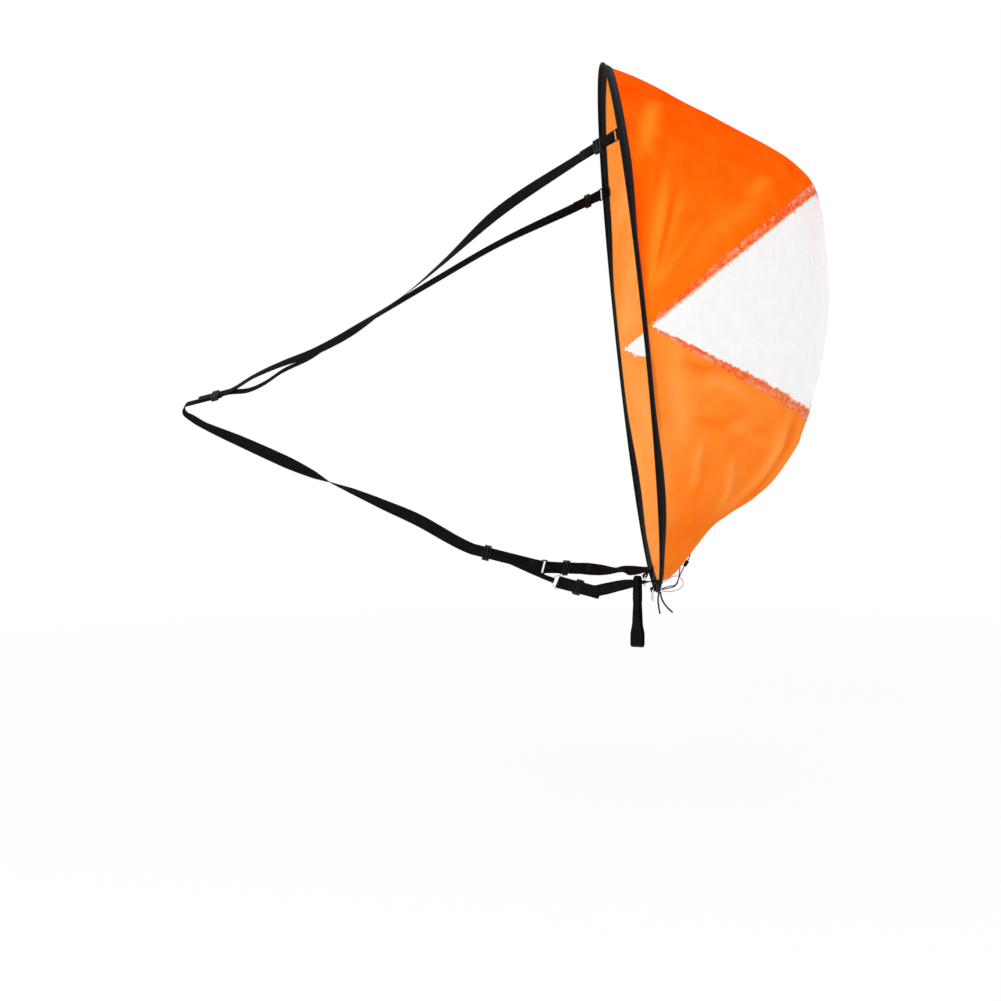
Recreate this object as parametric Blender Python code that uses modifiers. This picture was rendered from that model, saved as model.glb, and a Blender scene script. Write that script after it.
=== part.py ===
"""Pop-up canoe sail: a sprung round hoop with a bowl of cloth and clear film,
held at its foot by two deck rings and steered by webbing reins.

Units are metres, +Z is up, +X is downwind and -Y is the near side.
The origin lies on the hinge line of the two deck rings, midway between them.
"""

import math

import bmesh
import bpy
from mathutils import Matrix, Vector

X_AXIS = Vector((1, 0, 0))
Y_AXIS = Vector((0, 1, 0))
Z_AXIS = Vector((0, 0, 1))

# Shared clearances

GAP = 0.0003
SLIDE_GAP = 0.0005
OVERRUN = 0.002
MERGE = 0.00001

# Hoop, a round steel spring wire that leans upwind at its top

HOOP_RADIUS = 0.5375
HOOP_LEAN = math.radians(6.1)
FOOT_FORWARD = 0.0153169
FOOT_DROP = 0.0140566
HOOP_BACK = HOOP_RADIUS * math.sin(HOOP_LEAN) - FOOT_FORWARD
HOOP_HEIGHT = HOOP_RADIUS * math.cos(HOOP_LEAN) - FOOT_DROP
WIRE_RADIUS = 0.0014
STATION_STEP = 5
FERRULE_WALL = 0.0005
FERRULE_STEPS = 1
WIRE_END_GAP = 0.002

# Binding, a folded tape round the wire and the cloth's edge

TAPE = 0.0006
BEAD_BORE = 0.0027
SLOT_GAP = 0.0007
FLANGE_REACH = 0.0165
BEAD_ANGLES = (75, 125)

# Cloth bowl

CLOTH = 0.0008
FILM = 0.0006
EDGE_STRIP = 0.0195
HIDDEN_EDGE = 0.0055
BOWL_DEPTH = 0.414
CORNER_ANGLE = 92.3
CORNER_INSET = 0.004
UPPER_SEAM_SLOPE = 0.6425
LOWER_SEAM_SLOPE = 0.562
SEAM_LAP = 0.020
LAP_LIFT = 0.0016
FILM_END_LAP = 0.004
PANEL_ROWS = 10
FILM_ROWS = 6
LAP_LIMIT_SHARE = 0.3
ROW_POWER_SHARE = 1.2

# Angle between the cloth and the hoop's plane, round the rim from top to foot
RIM_ANGLE_PLACES = (0, 44, 56, 78, 105, 129, 150, 180)
RIM_ANGLES = (62, 52, 52, 18, 18, 48, 25, 25)

# Keel line of the bowl: height as a share of the radius, depth as a share of the depth
KEEL_SHARES = (
    (-0.955, 0.07), (-0.885, 0.17), (-0.83, 0.235), (-0.765, 0.32), (-0.72, 0.42),
    (-0.685, 0.52), (-0.62, 0.635), (-0.54, 0.725), (-0.395, 0.83), (-0.155, 0.935),
    (0.03, 0.985), (0.2, 1.0), (0.33, 1.0), (0.46, 0.975), (0.54, 0.905),
    (0.607, 0.80), (0.683, 0.655), (0.81, 0.41), (0.925, 0.19),
)

# Webbing

WEB_WIDTH = 0.025
WEB = 0.0015
TAPE_WIDTH = 0.010
LAYER_PITCH = 0.0024

# Deck rings, flat plates with a round-cornered eye

DECK_RING_OFFSET = 0.135
DECK_RING_PLATE = 0.0035
DECK_RING_BAR = 0.004
DECK_RING_EYE_WIDTH = 0.0272
DECK_RING_EYE_HEIGHT = 0.014
DECK_RING_FOOT = 0.005
DECK_RING_SIDE = 0.0035
DECK_RING_CORNER = 0.003
DECK_RING_EASE = 0.0004

# Wire rings of the harness

RING_WIRE = 0.0016
RING_LENGTH = 0.0105
RING_CORNER = 0.002
LINK_LENGTH = 0.014

# Reins: where they leave the rim, and their sliders

REIN_ANGLE = 49.8
REIN_FOOT_OUTER = 0.0195
REIN_FOOT_INNER = 0.0130
REIN_RING_REACH = 0.0125
REIN_CONVERGE = 0.016
REIN_SLIDER_PLACE = 0.034
REIN_TAIL = 0.072
REIN_STRAIGHT = 0.078

# Straps' sliders

SLIDER_LENGTH = 0.015
LINK_STRAIGHT = 0.0200
SLIDER_SIDE = 0.003
SLIDER_WALL = 0.0018
SLIDER_END_BAR = 0.0022
SLIDER_MID_BAR = 0.003
SLIDER_EASE = 0.0008

# Hand loop

HAND_X = -0.8945
HAND_Z = 0.3845
HAND_TILT = math.radians(24)
HAND_SLOPE = 0.2698
HAND_LEAD = 0.030
HAND_ENDS = 0.037
HAND_TURN_START = 0.061
HAND_TURN_RADIUS = 0.0145

# Legs of the harness and the hanging loop

LEG_FOOT_OUTER = 0.019
LEG_SLIDER_PLACE = 0.046
LEG_STRAIGHT = 0.078
NEAR_LEG_TAIL = 0.098
FAR_LEG_TAIL = 0.105
LOWER_SLIDER_PLACE = 0.115
LOWER_TAIL = 0.026
LOOP_FROM_FOOT = 0.050
LOOP_TOP_RADIUS = 0.0141
LOOP_FOOT_RADIUS = 0.008
LOOP_LENGTH = 0.118

# Tie cords at the foot

CORD_RADIUS = 0.0011
PALE_CORD_RADIUS = 0.0009
KNOT_RADIUS = 0.004
KNOT_TRACE = Vector((0.0240, -0.003, -0.0135))
KNOT_SIDE = -0.003
KNOT_TURN = math.radians(-67)
NEAR_HEAD = (-0.029713, 0.044646, 0.003500)
FAR_HEAD = (0.030153, 0.028400, 0.003300)
EYE_RADIUS = 0.0036
EYE_WIRE = 0.0008
STOPPER_RADIUS = 0.0038
STOPPER_LENGTH = 0.013
STOPPER_EASE = 0.001
TOGGLE_PLACE = 0.0105

# Routes of the free webbing: points and the tilt of the webbing's width in degrees

NEAR_REIN_ROUTE = (
    (-0.2978, -0.2492, 0.7338, 34), (-0.4177, -0.1688, 0.6382, 30),
    (-0.5008, -0.1152, 0.5775, 28), (-0.604, -0.0509, 0.5152, 26),
    (-0.690, -0.010, 0.4743, 24), (-0.7613, 0.0, 0.4487, 24),
    (-0.815, 0.0, 0.4245, 24),
)
FAR_REIN_ROUTE = (
    (-0.313, 0.2646, 0.7274, -30), (-0.4613, 0.1648, 0.6303, -26),
    (-0.5223, 0.122, 0.5885, -20), (-0.5817, 0.0793, 0.5465, -8),
    (-0.6395, 0.0365, 0.5065, 10), (-0.698, 0.006, 0.4640, 24),
    (-0.7536, 0.0, 0.4365, 24), (-0.792, 0.0, 0.4110, 24),
    (-0.826, 0.0, 0.3960, 24),
)
LOWER_ROUTE = (
    (-0.9200, 0.004, 0.3240, 30), (-0.8409, 0.0, 0.2898, 62),
    (-0.7482, 0.0, 0.2480, 92), (-0.690, 0.0, 0.2215, 135),
    (-0.6534, 0.0, 0.2047, 178), (-0.6100, 0.0, 0.1875, 205),
    (-0.5401, 0.0, 0.1573, 235), (-0.4750, 0.0, 0.1285, 262),
)
NEAR_LEG_ROUTE = (
    (-0.0930, -0.0880, -0.0040, 66), (-0.0560, -0.1090, 0.0065, 48),
)
FAR_LEG_ROUTE = (
    (-0.0980, 0.0640, 0.0205, 60), (-0.0560, 0.0900, 0.0180, 12),
    (-0.0340, 0.1080, 0.0150, 44),
)

# Directions of the harness at its rings

REIN_PULL = Vector((-0.801, 0.377, -0.464))
JUNCTION = Vector((-0.2207, 0.0, 0.0327))
LOWER_PULL = Vector((0.970, 0.0, -0.242))
FAR_LEG_PULL = Vector((0.880, 0.470, -0.070))
NEAR_LINK = Vector((-0.1967, -0.025, 0.0073))
NEAR_LINK_PULL = Vector((0.929, -0.144, -0.341))
NEAR_LEG_PULL = Vector((0.8438, -0.509, -0.173))

# Cord routes, chosen by hand
NEAR_CORD_TRACE = (
    (0.08395, -0.02992, 0.05779),
    (0.0833, -0.0298, 0.0559), (0.0798, -0.0293, 0.0499), (0.0763, -0.0288, 0.0439),
    (0.0728, -0.0283, 0.0379), (0.0699, -0.0265, 0.0311), (0.0668, -0.0250, 0.0244),
    (0.0641, -0.0230, 0.0178), (0.0618, -0.0210, 0.0110), (0.0592, -0.0190, 0.0050),
    (0.0560, -0.0165, -0.0008), (0.0508, -0.0135, -0.0036), (0.0450, -0.0100, -0.0050),
    (0.0392, -0.0078, -0.0070), (0.0335, -0.0060, -0.0094), (0.0280, -0.0047, -0.0118),
)
FAR_CORD_TRACE = (
    (0.0698, 0.0303, 0.0393),
    (0.0692, 0.0300, 0.0333), (0.0686, 0.0297, 0.0273), (0.0679, 0.0293, 0.0213),
    (0.0670, 0.0285, 0.0153), (0.0660, 0.0270, 0.0094), (0.0645, 0.0250, 0.0038),
    (0.0622, 0.0222, -0.0014), (0.0590, 0.0186, -0.0056), (0.0548, 0.0142, -0.0082),
    (0.0496, 0.0104, -0.0098), (0.0440, 0.0066, -0.0110), (0.0386, 0.0034, -0.0120),
    (0.0334, 0.0008, -0.0128), (0.0283, -0.0012, -0.0132),
)
PALE_CORD_TRACE = (
    (0.0261, -0.0024, -0.0097), (0.0270, -0.0018, -0.0054), (0.0296, -0.0008, -0.0006),
    (0.0330, -0.0006, 0.0024), (0.0370, -0.0010, 0.0052), (0.0412, -0.0020, 0.0080),
    (0.0462, -0.0030, 0.0112),
    (0.0516, -0.0042, 0.0136), (0.0572, -0.0054, 0.0146), (0.0626, -0.0066, 0.0136),
    (0.0676, -0.0076, 0.0098), (0.0708, -0.0084, 0.0044), (0.0718, -0.0090, -0.0014),
    (0.0698, -0.0094, -0.0068), (0.0650, -0.0094, -0.0112), (0.0594, -0.0088, -0.0140),
    (0.0536, -0.0078, -0.0158), (0.0478, -0.0064, -0.0168), (0.0426, -0.0050, -0.0174),
    (0.0376, -0.0040, -0.0174), (0.0328, -0.0034, -0.0168), (0.0284, -0.0030, -0.0153),
)
LONG_TAIL_TRACE = (
    (0.0255, -0.0036, -0.0179), (0.0262, -0.0038, -0.0240), (0.0276, -0.0042, -0.0300),
    (0.0298, -0.0046, -0.0360), (0.0330, -0.0052, -0.0415), (0.0368, -0.0058, -0.0468),
    (0.0410, -0.0064, -0.0516), (0.0456, -0.0070, -0.0560), (0.0504, -0.0076, -0.0600),
)
SHORT_TAIL_TRACE = (
    (0.0226, -0.0060, -0.0171), (0.0218, -0.0072, -0.0222), (0.0208, -0.0084, -0.0282),
    (0.0204, -0.0092, -0.0342), (0.0206, -0.0098, -0.0402), (0.0214, -0.0102, -0.0462),
    (0.0222, -0.0104, -0.0522), (0.0234, -0.0106, -0.0582), (0.0240, -0.0106, -0.0625),
)

# Colours, roughness and metallic values

MATERIALS = {
    "orange_cloth": ((0.95, 0.16, 0.015), 0.45, 0.0, 1.0),
    "orange_cloth_low": ((0.96, 0.20, 0.03), 0.48, 0.0, 1.0),
    "clear_film": ((0.93, 0.94, 0.96), 0.08, 0.0, 0.35),
    "binding_tape": ((0.018, 0.018, 0.021), 0.75, 0.0, 1.0),
    "webbing": ((0.016, 0.016, 0.018), 0.8, 0.0, 1.0),
    "spring_steel": ((0.45, 0.46, 0.48), 0.3, 1.0, 1.0),
    "ferrule_steel": ((0.6, 0.6, 0.62), 0.28, 1.0, 1.0),
    "zinc_ring": ((0.62, 0.60, 0.56), 0.3, 1.0, 1.0),
    "dark_wire": ((0.09, 0.09, 0.10), 0.4, 1.0, 1.0),
    "slider_plastic": ((0.02, 0.02, 0.022), 0.4, 0.0, 1.0),
    "dark_cord": ((0.03, 0.03, 0.032), 0.8, 0.0, 1.0),
    "pale_cord": ((0.80, 0.55, 0.55), 0.7, 0.0, 1.0),
}


# Scene helpers


def clear_scene():
    for item in list(bpy.data.objects):
        bpy.data.objects.remove(item, do_unlink=True)


def new_collection(name):
    group = bpy.data.collections.new(name)
    bpy.context.scene.collection.children.link(group)
    return group


def material(name):
    """Return the named Principled material, made once."""
    made = bpy.data.materials.get(name)
    if made:
        return made
    colour, roughness, metallic, alpha = MATERIALS[name]
    made = bpy.data.materials.new(name)
    made.use_nodes = True
    shader = made.node_tree.nodes["Principled BSDF"]
    shader.inputs["Base Color"].default_value = (*colour, 1)
    shader.inputs["Roughness"].default_value = roughness
    shader.inputs["Metallic"].default_value = metallic
    shader.inputs["Alpha"].default_value = alpha
    made.diffuse_color = (*colour, alpha)
    return made


def add_mesh(name, verts, faces, finish, group, smooth=False):
    """Make one named object of a mesh given in world places."""
    mesh = bpy.data.meshes.new(name)
    mesh.from_pydata([tuple(v) for v in verts], [], faces)
    mesh.validate()
    made = bpy.data.objects.new(name, mesh)
    group.objects.link(made)
    if finish:
        mesh.materials.append(material(finish))
    if smooth:
        for face in mesh.polygons:
            face.use_smooth = True
    return made


def outward(made):
    """Turn every face of a closed mesh outwards."""
    work = bmesh.new()
    work.from_mesh(made.data)
    bmesh.ops.recalc_face_normals(work, faces=work.faces)
    work.to_mesh(made.data)
    work.free()
    return made


def put_origin(made, place):
    """Move an object's origin to a place on its joint."""
    made.data.transform(Matrix.Translation(-place))
    made.location = place
    return made


def thicken(made, thickness):
    solid = made.modifiers.new("Thickness", "SOLIDIFY")
    solid.thickness = thickness
    solid.offset = 0
    solid.use_even_offset = True
    return made


# Curves and plane paths


def steady_slopes(xs, ys):
    """Slopes of a smooth curve through points that never overshoots them."""
    count = len(xs)
    steps = [xs[i + 1] - xs[i] for i in range(count - 1)]
    rises = [(ys[i + 1] - ys[i]) / steps[i] for i in range(count - 1)]
    slopes = [rises[0]]
    for i in range(1, count - 1):
        if rises[i - 1] * rises[i] <= 0:
            slopes.append(0)
            continue
        before = 2 * steps[i] + steps[i - 1]
        after = steps[i] + 2 * steps[i - 1]
        slopes.append((before + after) / (before / rises[i - 1] + after / rises[i]))
    slopes.append(rises[-1])
    return slopes


def read_curve(xs, ys, slopes, x):
    """Value at x of the smooth curve through the points."""
    x = min(max(x, xs[0]), xs[-1])
    i = 0
    while i < len(xs) - 2 and x > xs[i + 1]:
        i += 1
    step = xs[i + 1] - xs[i]
    t = (x - xs[i]) / step
    start = (1 + 2 * t) * (1 - t) ** 2 * ys[i] + t * (1 - t) ** 2 * step * slopes[i]
    end = t * t * (3 - 2 * t) * ys[i + 1] + t * t * (t - 1) * step * slopes[i + 1]
    return start + end


def wrap(enter, leave, centre, radius, turn, steps):
    """Plane path from enter round a circle to leave; turn is +1 for anticlockwise."""
    enter, leave, centre = Vector(enter), Vector(leave), Vector(centre)
    inward = centre - enter
    away = leave - centre
    first = math.atan2(inward.y, inward.x) - turn * math.asin(radius / inward.length)
    last = math.atan2(away.y, away.x) + turn * math.asin(radius / away.length)
    sweep = (turn * (last - first)) % (2 * math.pi)
    path = [enter]
    for i in range(steps + 1):
        heading = first + turn * sweep * i / steps
        side = Vector((-math.sin(heading), math.cos(heading)))
        path.append(centre - turn * radius * side)
    path.append(leave)
    return path


def glide(stations, spans, before=None, after=None):
    """Smooth curve through (place, width) stations; before and after guide its ends."""
    guided = ([before] if before else []) + stations + ([after] if after else [])
    places = [s[0] for s in guided]
    widths = [s[1] for s in guided]
    first = 1 if before else 0
    result = []
    for i in range(first, first + len(stations) - 1):
        before, after = max(i - 1, 0), min(i + 2, len(guided) - 1)
        for k in range(spans):
            t = k / spans
            result.append((
                blend(places[before], places[i], places[i + 1], places[after], t),
                blend(widths[before], widths[i], widths[i + 1], widths[after], t).normalized(),
            ))
    result.append(stations[-1])
    return result


def blend(a, b, c, d, t):
    """Centripetal-like smooth step between b and c."""
    reach = (c - b).length
    first = (b - a).length
    last = (d - c).length
    left = (c - a) * (reach / (reach + first)) if first else (c - b)
    right = (d - b) * (reach / (reach + last)) if last else (c - b)
    h1 = (1 + 2 * t) * (1 - t) ** 2
    h2 = t * (1 - t) ** 2
    h3 = t * t * (3 - 2 * t)
    h4 = t * t * (t - 1)
    return b * h1 + left * h2 + c * h3 + right * h4


def tilted(angle):
    """Width direction of webbing, turned from level by an angle in degrees."""
    turn = math.radians(angle)
    return Vector((0, math.cos(turn), math.sin(turn)))


def route_stations(route):
    return [(Vector(p[:3]), tilted(p[3])) for p in route]


def ribbon(name, stations, width, thickness, finish, group):
    """Flat webbing along stations, as an open strip with thickness."""
    verts = []
    last = len(stations) - 1
    for i, (place, across) in enumerate(stations):
        along = stations[min(i + 1, last)][0] - stations[max(i - 1, 0)][0]
        along.normalize()
        side = (across - along * across.dot(along)).normalized()
        verts.append(place - side * width / 2)
        verts.append(place + side * width / 2)
    faces = [(2 * i, 2 * i + 1, 2 * i + 3, 2 * i + 2) for i in range(last)]
    return thicken(add_mesh(name, verts, faces, finish, group), thickness)


def tube(name, places, radius, finish, group, closed=False):
    """Round cord or wire along a line of places, turned into a mesh."""
    curve = bpy.data.curves.new(name, "CURVE")
    curve.dimensions = "3D"
    curve.bevel_depth = radius
    curve.bevel_resolution = 2
    curve.use_fill_caps = not closed
    line = curve.splines.new("POLY")
    line.points.add(len(places) - 1)
    for point, place in zip(line.points, places):
        point.co = (*place, 1)
    line.use_cyclic_u = closed
    return curve_to_mesh(name, curve, finish, group)


def curve_to_mesh(name, curve, finish, group):
    holder = bpy.data.objects.new(name + "_curve", curve)
    bpy.context.scene.collection.objects.link(holder)
    bpy.context.view_layer.update()
    graph = bpy.context.evaluated_depsgraph_get()
    mesh = bpy.data.meshes.new_from_object(holder.evaluated_get(graph))
    bpy.data.objects.remove(holder, do_unlink=True)
    mesh.name = name
    mesh.materials.clear()
    work = bmesh.new()
    work.from_mesh(mesh)
    bmesh.ops.remove_doubles(work, verts=work.verts, dist=MERGE)
    bmesh.ops.recalc_face_normals(work, faces=work.faces)
    work.to_mesh(mesh)
    work.free()
    mesh.materials.append(material(finish))
    made = bpy.data.objects.new(name, mesh)
    group.objects.link(made)
    return made


# Hoop frame


def hoop_vectors():
    up = Vector((-math.sin(HOOP_LEAN), 0, math.cos(HOOP_LEAN)))
    downwind = Vector((math.cos(HOOP_LEAN), 0, math.sin(HOOP_LEAN)))
    return up, downwind


UP, DOWNWIND = hoop_vectors()
HOOP_CENTRE = Vector((-HOOP_BACK, 0, HOOP_HEIGHT))


def bowl_place(across, up, deep):
    return HOOP_CENTRE + Y_AXIS * across + UP * up + DOWNWIND * deep


def station_angles():
    """Angles round the hoop from foot to foot; positive angles are the far side."""
    half = sorted(set(range(0, 180, STATION_STEP)) | {CORNER_ANGLE})
    return [-180] + [-a for a in reversed(half) if a] + half


def radial(angle):
    turn = math.radians(angle)
    return UP * math.cos(turn) + Y_AXIS * math.sin(turn)


def tangent(angle):
    turn = math.radians(angle)
    return Y_AXIS * math.cos(turn) - UP * math.sin(turn)


HALF_STATIONS = sorted(set(range(0, 181, STATION_STEP)) | {CORNER_ANGLE})
RIM_SLOPES = steady_slopes(RIM_ANGLE_PLACES, RIM_ANGLES)


def rim_angle(angle):
    """Angle between the cloth and the hoop's plane at a station."""
    folded = abs((angle + 180) % 360 - 180)
    return math.radians(read_curve(RIM_ANGLE_PLACES, RIM_ANGLES, RIM_SLOPES, folded))


def facet_radius(angle):
    """Radius of the straight run between two stations, read at any angle."""
    folded = abs((angle + 180) % 360 - 180)
    for low, high in zip(HALF_STATIONS, HALF_STATIONS[1:]):
        if folded <= high:
            half = math.radians(high - low) / 2
            return HOOP_RADIUS * math.cos(half) / math.cos(math.radians(folded - low) - half)
    return HOOP_RADIUS


def rim_frame(angle):
    """Wire place, direction into the cloth, direction upwind off the cloth, tangent."""
    lean = rim_angle(angle)
    out = radial(angle)
    wire = HOOP_CENTRE + out * facet_radius(angle)
    inward = DOWNWIND * math.sin(lean) - out * math.cos(lean)
    upwind = -DOWNWIND * math.cos(lean) - out * math.sin(lean)
    return wire, inward, upwind, tangent(angle)


def rim_point(angle, inward, upwind):
    wire, a, b, _ = rim_frame(angle)
    return wire + a * inward + b * upwind


# Hoop, ferrule and binding


def split_quad(a, b, c, d, from_first):
    """Two triangles of a quad whose diagonal starts at its first or second corner."""
    if from_first:
        return [(a, b, c), (a, c, d)]
    return [(a, b, d), (b, c, d)]


def swept_ring(name, angles, profile, finish, group, closed):
    """Sweep a closed profile of (inward, upwind) points round the hoop."""
    count = len(profile)
    verts = [rim_point(a, p[0], p[1]) for a in angles for p in profile]
    faces = []
    spans = len(angles) if closed else len(angles) - 1
    for i in range(spans):
        here = i * count
        there = ((i + 1) % len(angles)) * count
        for k in range(count):
            n = (k + 1) % count
            falls = profile[k][0] > profile[n][0]
            faces += split_quad(here + k, here + n, there + n, there + k, falls)
    if not closed:
        faces.append(tuple(reversed(range(count))))
        last = (len(angles) - 1) * count
        faces.append(tuple(last + k for k in range(count)))
    return outward(add_mesh(name, verts, faces, finish, group))


def circle_profile(radius, sides, phase=0.5):
    turns = [2 * math.pi * (k + phase) / sides for k in range(sides)]
    return [(radius * math.cos(t), radius * math.sin(t)) for t in turns]


def make_hoop(group):
    """Spring wire whose two ends meet inside a crimped tube at the top."""
    cut = math.degrees(WIRE_END_GAP / 2 / HOOP_RADIUS)
    angles = [a for a in station_angles() if abs(a) > STATION_STEP / 2]
    far = [a for a in angles if a > 0]
    near = [a for a in angles if a < 0]
    sweep = [cut] + far + [a + 360 for a in near] + [360 - cut]
    profile = circle_profile(WIRE_RADIUS, 8)
    swept_ring("spring_hoop", sweep, profile, "spring_steel", group, False)


def make_ferrule(group):
    """Crimped tube over the joint of the wire."""
    bore = WIRE_RADIUS + GAP
    outer = circle_profile(bore + FERRULE_WALL, 8)
    inner = circle_profile(bore, 8)
    count = len(outer)
    reach = FERRULE_STEPS * STATION_STEP
    angles = [-reach, 0, reach]
    verts = []
    for a in angles:
        verts += [rim_point(a, *p) for p in outer] + [rim_point(a, *p) for p in inner]
    faces = []
    ring = 2 * count
    for i in range(len(angles) - 1):
        for k in range(count):
            n = (k + 1) % count
            here, there = i * ring, (i + 1) * ring
            faces.append((here + k, here + n, there + n, there + k))
            here, there = here + count, there + count
            faces.append((here + n, here + k, there + k, there + n))
    for end in (0, (len(angles) - 1) * ring):
        for k in range(count):
            n = (k + 1) % count
            faces.append((end + k, end + n, end + count + n, end + count + k))
    outward(add_mesh("hoop_ferrule", verts, faces, "ferrule_steel", group))


def binding_profile():
    """Folded tape: a round bead over the wire and two flanges over the cloth."""
    slot = CLOTH / 2 + SLOT_GAP
    outer_radius = BEAD_BORE + TAPE
    flange = slot + TAPE
    neck_outer = math.sqrt(outer_radius ** 2 - flange ** 2)
    neck_inner = math.sqrt(BEAD_BORE ** 2 - slot ** 2)
    turns = [math.radians(a) for a in BEAD_ANGLES]
    half_outer = [(outer_radius * math.cos(t), outer_radius * math.sin(t)) for t in turns]
    half_inner = [(BEAD_BORE * math.cos(t), BEAD_BORE * math.sin(t)) for t in turns]
    upper = [(FLANGE_REACH, flange), (neck_outer, flange)] + half_outer
    under = [(FLANGE_REACH, slot), (neck_inner, slot)] + half_inner
    profile = upper + [(-outer_radius, 0)] + mirrored(upper)
    return profile + under_run(under)


def mirrored(points):
    return [(a, -b) for a, b in reversed(points)]


def under_run(under):
    """Inner line of the tape, walked back from the lower flange to the upper one."""
    return [(a, -b) for a, b in under] + [(-BEAD_BORE, 0)] + list(reversed(under))


def make_binding(group):
    swept_ring("rim_binding", station_angles(), binding_profile(), "binding_tape", group, True)


# Bowl of cloth and film


def edge_point(angle):
    """Where the free cloth starts, as (across, up, deep)."""
    lean = rim_angle(angle)
    reach = HOOP_RADIUS - EDGE_STRIP * math.cos(lean)
    turn = math.radians(angle)
    return reach * math.sin(turn), reach * math.cos(turn), EDGE_STRIP * math.sin(lean)


EDGE_TABLE = [edge_point(180 - a) for a in range(0, 181)]
KEEL_X = [EDGE_TABLE[0][1]] + [s[0] * HOOP_RADIUS for s in KEEL_SHARES] + [EDGE_TABLE[-1][1]]
KEEL_Y = [EDGE_TABLE[0][2]] + [s[1] * BOWL_DEPTH for s in KEEL_SHARES] + [EDGE_TABLE[-1][2]]
KEEL_SLOPES = steady_slopes(KEEL_X, KEEL_Y)


def edge_at(up):
    """Half width and rim depth of the bowl at a height."""
    table = EDGE_TABLE
    if up <= table[0][1]:
        return table[0][0], table[0][2]
    for low, high in zip(table, table[1:]):
        if up <= high[1]:
            t = (up - low[1]) / (high[1] - low[1])
            return low[0] + (high[0] - low[0]) * t, low[2] + (high[2] - low[2]) * t
    return table[-1][0], table[-1][2]


def depth_at(across, up):
    """Depth of the bowl: a parabola across each level section."""
    half, rim = edge_at(up)
    keel = read_curve(KEEL_X, KEEL_Y, KEEL_SLOPES, up)
    share = min(abs(across) / half, 1) if half > GAP else 1
    return rim + (keel - rim) * (1 - share * share)


def bowl_normal(across, up):
    """Outward direction of the bowl, on its downwind side."""
    step = CLOTH
    rise = (depth_at(across, up + step) - depth_at(across, up - step)) / (2 * step)
    swing = (depth_at(across + step, up) - depth_at(across - step, up)) / (2 * step)
    return (DOWNWIND - UP * rise - Y_AXIS * swing).normalized()


CORNER = edge_point(CORNER_ANGLE)
CORNER_UP = CORNER[1]
CORNER_ACROSS = CORNER[0] - CORNER_INSET
BUTT = GAP


def seam_height(across, slope, start):
    """Height where a seam that is straight from the side crosses the bowl."""
    deep = depth_at(CORNER_ACROSS, CORNER_UP)
    up = start
    for _ in range(40):
        goal = start + slope * (depth_at(across, up) - deep)
        up += (goal - up) / 2
    return up


def lap_at(across):
    """Width of the film's lap over the cloth, narrow at the window's corners."""
    share = min(abs(across) / CORNER_ACROSS, 1)
    return FILM_END_LAP + (SEAM_LAP - FILM_END_LAP) * math.sqrt(1 - share * share)


def shell(name, columns, thickness, finish, group):
    """Closed shell from columns of places, all with the same count."""
    rows = len(columns[0])
    verts = [place for column in columns for place in column]
    faces = []
    for i in range(len(columns) - 1):
        for k in range(rows - 1):
            here = i * rows + k
            faces += split_quad(here, here + 1, here + rows + 1, here + rows, k == rows - 2)
    return thicken(add_mesh(name, verts, faces, finish, group, True), thickness)


def panel_column(seam, angle):
    """Places from the window seam to the hidden edge inside the binding."""
    end = edge_point(angle)
    column = []
    reach = math.hypot(end[0] - seam[0], end[1] - seam[1])
    lap = min(lap_at(seam[0]) / reach, LAP_LIMIT_SHARE)
    for k in range(PANEL_ROWS + 1):
        t = 0 if k == 0 else lap + (1 - lap) * ((k - 1) / (PANEL_ROWS - 1)) ** ROW_POWER_SHARE
        across = seam[0] + (end[0] - seam[0]) * t
        up = seam[1] + (end[1] - seam[1]) * t
        deep = end[2] if k == PANEL_ROWS else depth_at(across, up)
        column.append(bowl_place(across, up, deep))
    column.append(rim_point(angle, HIDDEN_EDGE, 0))
    return column


def cloth_columns(angles, slope, start):
    """Columns of an orange panel, from its window seam to the rim."""
    first = angles[0]
    middle = angles[len(angles) // 2]
    columns = []
    for angle in angles:
        share = (angle - middle) / (first - middle)
        turn = math.radians(90 * share)
        side = math.copysign(1, math.sin(math.radians(first)))
        across = CORNER_ACROSS * math.sin(turn) * side
        up = start if abs(share) > 1 - MERGE else seam_height(across, slope, start)
        columns.append(panel_column((across, up), angle))
    return columns


def make_upper_panel(group):
    corner = CORNER_ANGLE - math.degrees(BUTT / HOOP_RADIUS)
    half = list(range(0, int(CORNER_ANGLE), STATION_STEP)) + [corner]
    angles = [-a for a in reversed(half) if a] + half
    columns = cloth_columns(angles, UPPER_SEAM_SLOPE, CORNER_UP + BUTT)
    shell("upper_panel", columns, CLOTH, "orange_cloth", group)


def make_lower_panels(group):
    """Far and near halves of the lower cloth, butted along the keel."""
    corner = CORNER_ANGLE + math.degrees(BUTT / HOOP_RADIUS)
    half = [a for a in range(0, 180, STATION_STEP) if a > CORNER_ANGLE]
    side = [corner] + half
    angles = side + [180] + [360 - a for a in reversed(side)]
    columns = cloth_columns(angles, -LOWER_SEAM_SLOPE, CORNER_UP - BUTT)
    keel = len(side)
    apart = Y_AXIS * BUTT / 2
    far = columns[:keel] + [[place + apart for place in columns[keel]]]
    near = [[place - apart for place in columns[keel]]] + columns[keel + 1:]
    shell("far_lower_panel", far, CLOTH, "orange_cloth_low", group)
    shell("near_lower_panel", near, CLOTH, "orange_cloth_low", group)


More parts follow.
